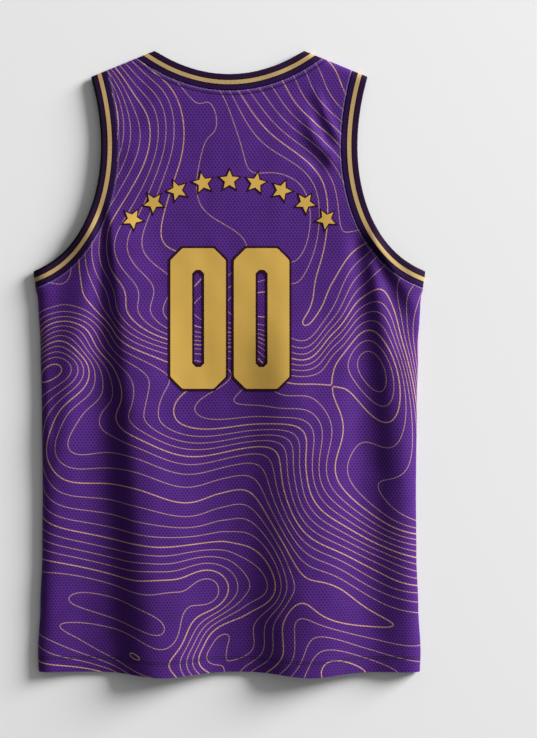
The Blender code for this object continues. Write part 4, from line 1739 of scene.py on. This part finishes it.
@dataclass
class Jersey:
    """The whole jersey: its panels, bands, stitching, number and stars."""

    cut: JerseyCut = field(default_factory=JerseyCut)
    back_size: tuple[float, float] = (0.53, 0.79)
    back_area: float = 0.320
    front_size: tuple[float, float] = (0.52, 0.79)
    front_area: float = 0.287
    neck_band_size: tuple[float, float] = (0.0204, 0.60)
    armhole_band_size: tuple[float, float] = (0.0204, 0.62)
    neck_band_steps: tuple[int, int] = (44, 8)
    armhole_band_steps: tuple[int, tuple[int, int]] = (64, (8, 12))
    stitch_insets: tuple[float, float] = (0.0018, 0.0054)
    neck_stitch_steps: tuple[int, int] = (300, 30)
    armhole_stitch_steps: tuple[int, tuple[int, int]] = (300, (30, 40))
    hem_stitch_steps: tuple[int, int] = (200, 40)
    numeral_middle: tuple[float, float] = (0.0009, 0.0560)
    numeral_pitch: float = 0.0790

    def __post_init__(self) -> None:
        """Settles how the cloth lies and makes the finishes."""
        self.lie = ClothLie(self.cut)
        self.mesh = EyeletMesh().material()
        rib = StripedRib("knitted_polyester_rib")
        # The left armhole's band carries a near-black painted shade along its outer edge, where that edge
        # lies in shade, and its stripes lie further in.
        stripes = {"painted_edge_shade_to_mm": 3.0, "gold_from_mm": 8.6, "gold_to_mm": 13.7}
        self.rib = rib.material()
        self.edge_shaded_rib = replace(rib, name="knitted_polyester_rib_painted_edge_shade", **stripes).material()
        gold = TackleTwill("gold_polyester_twill", "#C59E46").material()
        dark = TackleTwill("dark_polyester_twill", "#28081C", specular=0.12, sheen=0.0).material()
        self.twills = {"gold": gold, "backing": dark}
        self.thread = SewingThread().material()

    def armhole(self, side: Side) -> Callable[[Layer, np.ndarray], np.ndarray]:
        """Stations of one armhole band.

        Args:
            side: left or right.

        Returns:
            Function that gives the stations of a layer at each inset.
        """

        def stations(layer: Layer, across: np.ndarray) -> np.ndarray:
            """Stations of the armhole at each inset."""
            return self.cut.armhole_lines(layer, across, *self.armhole_band_steps) * (float(side.value), 1.0)

        return stations

    def neck(self, layer: Layer, across: np.ndarray) -> np.ndarray:
        """Stations of the neck band at each inset."""
        return mirrored(self.cut.neck_lines(layer, across, *self.neck_band_steps))

    def build_bands(self) -> None:
        neck = Band(self.lie, "neck_rib_band", "neck_band", self.rib, self.neck).build()
        for side, finish in ((Side.LEFT, self.edge_shaded_rib), (Side.RIGHT, self.rib)):
            word = side.name.lower()
            node = f"armhole_band_{word}"
            band = Band(self.lie, f"armhole_rib_band_{word}", node, finish, self.armhole(side)).build()

    def hem_row(self, above: float) -> np.ndarray:
        """A row of stitching that follows the hem.

        Args:
            above: height of the row above the hem line.

        Returns:
            Places of the row, by x and y.
        """
        level_steps, turn_steps = self.hem_stitch_steps
        radius = self.cut.layer(Facing.UP).side_radius
        width = self.cut.half_width(np.array(self.cut.hem_y + above))
        turn = self.cut.turn_distances(radius, turn_steps)[::-1][1:]
        half = np.concatenate((np.linspace(0.0, width - radius, level_steps), width - turn))
        x = np.concatenate((-half[:0:-1], half))
        return np.stack((x, self.cut.hem_line(x) + above), axis=-1)

    def build_stitching(self) -> list[bpy.types.Object]:
        """Makes the stitching on the back.

        Returns:
            The rows along the neck, the armholes and the hem.
        """
        layer = self.cut.layer(Facing.UP)
        insets = np.array(self.stitch_insets) + self.cut.panel_inset
        armholes = self.cut.armhole_lines(layer, insets, *self.armhole_stitch_steps)
        groups = {
            "neck_topstitching": list(mirrored(self.cut.neck_lines(layer, insets, *self.neck_stitch_steps))),
            "armhole_topstitching_left": list(armholes * (-1.0, 1.0)),
            "armhole_topstitching_right": list(armholes),
            "hem_stitching": [self.hem_row(above * MM) for above in HEM_ROWS_MM],
        }
        return [Stitching(self.lie, name, self.thread, rows).build() for name, rows in groups.items()]

    def build_number(self) -> list[bpy.types.Object]:
        """Makes the two numerals.

        Returns:
            The numerals from left to right.
        """
        numerals = []
        for side in Side:
            middle = (self.numeral_middle[0] + side.value * self.numeral_pitch / 2, self.numeral_middle[1])
            name = f"numeral_{side.name.lower()}"
            numerals.append(BlockZero(lie=self.lie, name=name, middle=middle, **self.twills).build())
        return numerals

    def build(self) -> None:
        front = FrontPanel(self.lie, self.mesh).build()
        back = Panel(self.lie, self.mesh).build()
        self.build_bands()
        added = self.build_stitching() + self.build_number()
        added += StarArc(lie=self.lie, **self.twills).build()


@dataclass
class Studio:
    """Pale floor, soft low light from the upper right, faint light from all round, and the camera."""

    view_middle: tuple[float, float] = (0.0490, -0.0069)
    view_height: float = 0.9225
    lens_mm: float = 100.0
    sensor_mm: float = 36.0
    focus_level: float = 0.006
    light_elevation: float = math.radians(18)
    light_azimuth: float = math.radians(30)
    light_width: float = math.radians(28)
    light_distance: float = 12.0
    light_strength: float = 7.4
    fill_strength: float = 0.27
    fill_lean: float = 0.90
    fill_colour: str = "#FFFFFF"
    floor_size: float = 8.0
    floor_level: float = -0.0002
    floor_colour: str = "#E9E9E9"
    floor_clouds_per_metre: float = 1.5
    floor_tone: tuple[float, float] = (0.98, 1.02)
    floor_roughness: float = 0.9
    floor_specular: float = 0.2

    def build_floor(self) -> None:
        """Lays a plain pale floor just under the jersey."""
        deselect_all()
        bpy.ops.mesh.primitive_plane_add(size=self.floor_size, location=(0.0, 0.0, self.floor_level))
        floor = bpy.context.active_object
        floor.name = "floor"
        # Matt painted board: the eye gets an even pale ground, hardly clouded.
        material, tree = new_material(
            "matt_painted_board",
            {"Roughness": self.floor_roughness, "Specular IOR Level": self.floor_specular},
        )
        place = add_node(tree, "TexCoord", output="Object")
        noise = {"Vector": place, "Scale": self.floor_clouds_per_metre, "Detail": 1.0}
        cloud = add_node(tree, "TexNoise", noise)
        low, high = self.floor_tone
        tone = add_node(tree, "MapRange", {"Value": cloud, "To Min": low, "To Max": high})
        base = linear_colour(self.floor_colour)[:3]
        link_shader(tree, add_node(tree, "VectorMath", {0: base, "Scale": tone}, operation="SCALE"))
        floor.data.materials.append(material)

    def build_light(self) -> None:
        """Hangs the round soft key light and sets the light from all round, stronger on its side."""
        level = math.cos(self.light_elevation)
        across = Vector((math.cos(self.light_azimuth), math.sin(self.light_azimuth), 0.0))
        towards = across * level + Vector((0.0, 0.0, math.sin(self.light_elevation)))
        deselect_all()
        bpy.ops.object.light_add(
            type="AREA",
            location=towards * self.light_distance,
            rotation=towards.to_track_quat("Z", "Y").to_euler(),
        )
        key = bpy.context.active_object
        key.name = "key_light"
        key.data.shape = "DISK"
        key.data.size = 2 * self.light_distance * math.tan(self.light_width / 2)
        key.data.energy = self.light_strength * math.pi * self.light_distance**2
        world = bpy.data.worlds.new("soft_room")
        world.use_nodes = True
        tree = world.node_tree
        heading = add_node(tree, "TexCoord", output="Generated")
        lean = add_node(tree, "VectorMath", {0: heading, 1: across}, "Value", operation="DOT_PRODUCT")
        fill = {0: lean, 1: self.fill_strength * self.fill_lean, 2: self.fill_strength}
        background = tree.nodes["Background"]
        background.inputs["Color"].default_value = linear_colour(self.fill_colour)
        strength = add_node(tree, "Math", fill, operation="MULTIPLY_ADD")
        tree.links.new(strength, background.inputs["Strength"])
        bpy.context.scene.world = world

    def build_camera(self) -> None:
        """Hangs a long lens straight above the jersey."""
        distance = self.view_height * self.lens_mm / self.sensor_mm
        place = (*self.view_middle, self.focus_level + distance)
        deselect_all()
        bpy.ops.object.camera_add(location=place, rotation=(0.0, 0.0, 0.0))
        camera = bpy.context.active_object
        camera.name = "overhead_camera"
        camera.data.lens = self.lens_mm
        camera.data.sensor_width = self.sensor_mm
        bpy.context.scene.camera = camera

    def build(self) -> None:
        """Makes the floor, the lights and the camera."""
        self.build_floor()
        self.build_light()
        self.build_camera()
        bpy.context.scene.view_settings.view_transform = "Standard"


def main() -> None:
    """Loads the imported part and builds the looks."""
    logging.basicConfig(level=logging.INFO, format="%(message)s")
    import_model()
    Studio().build()
    Jersey().build()


if __name__ == "__main__":
    main()
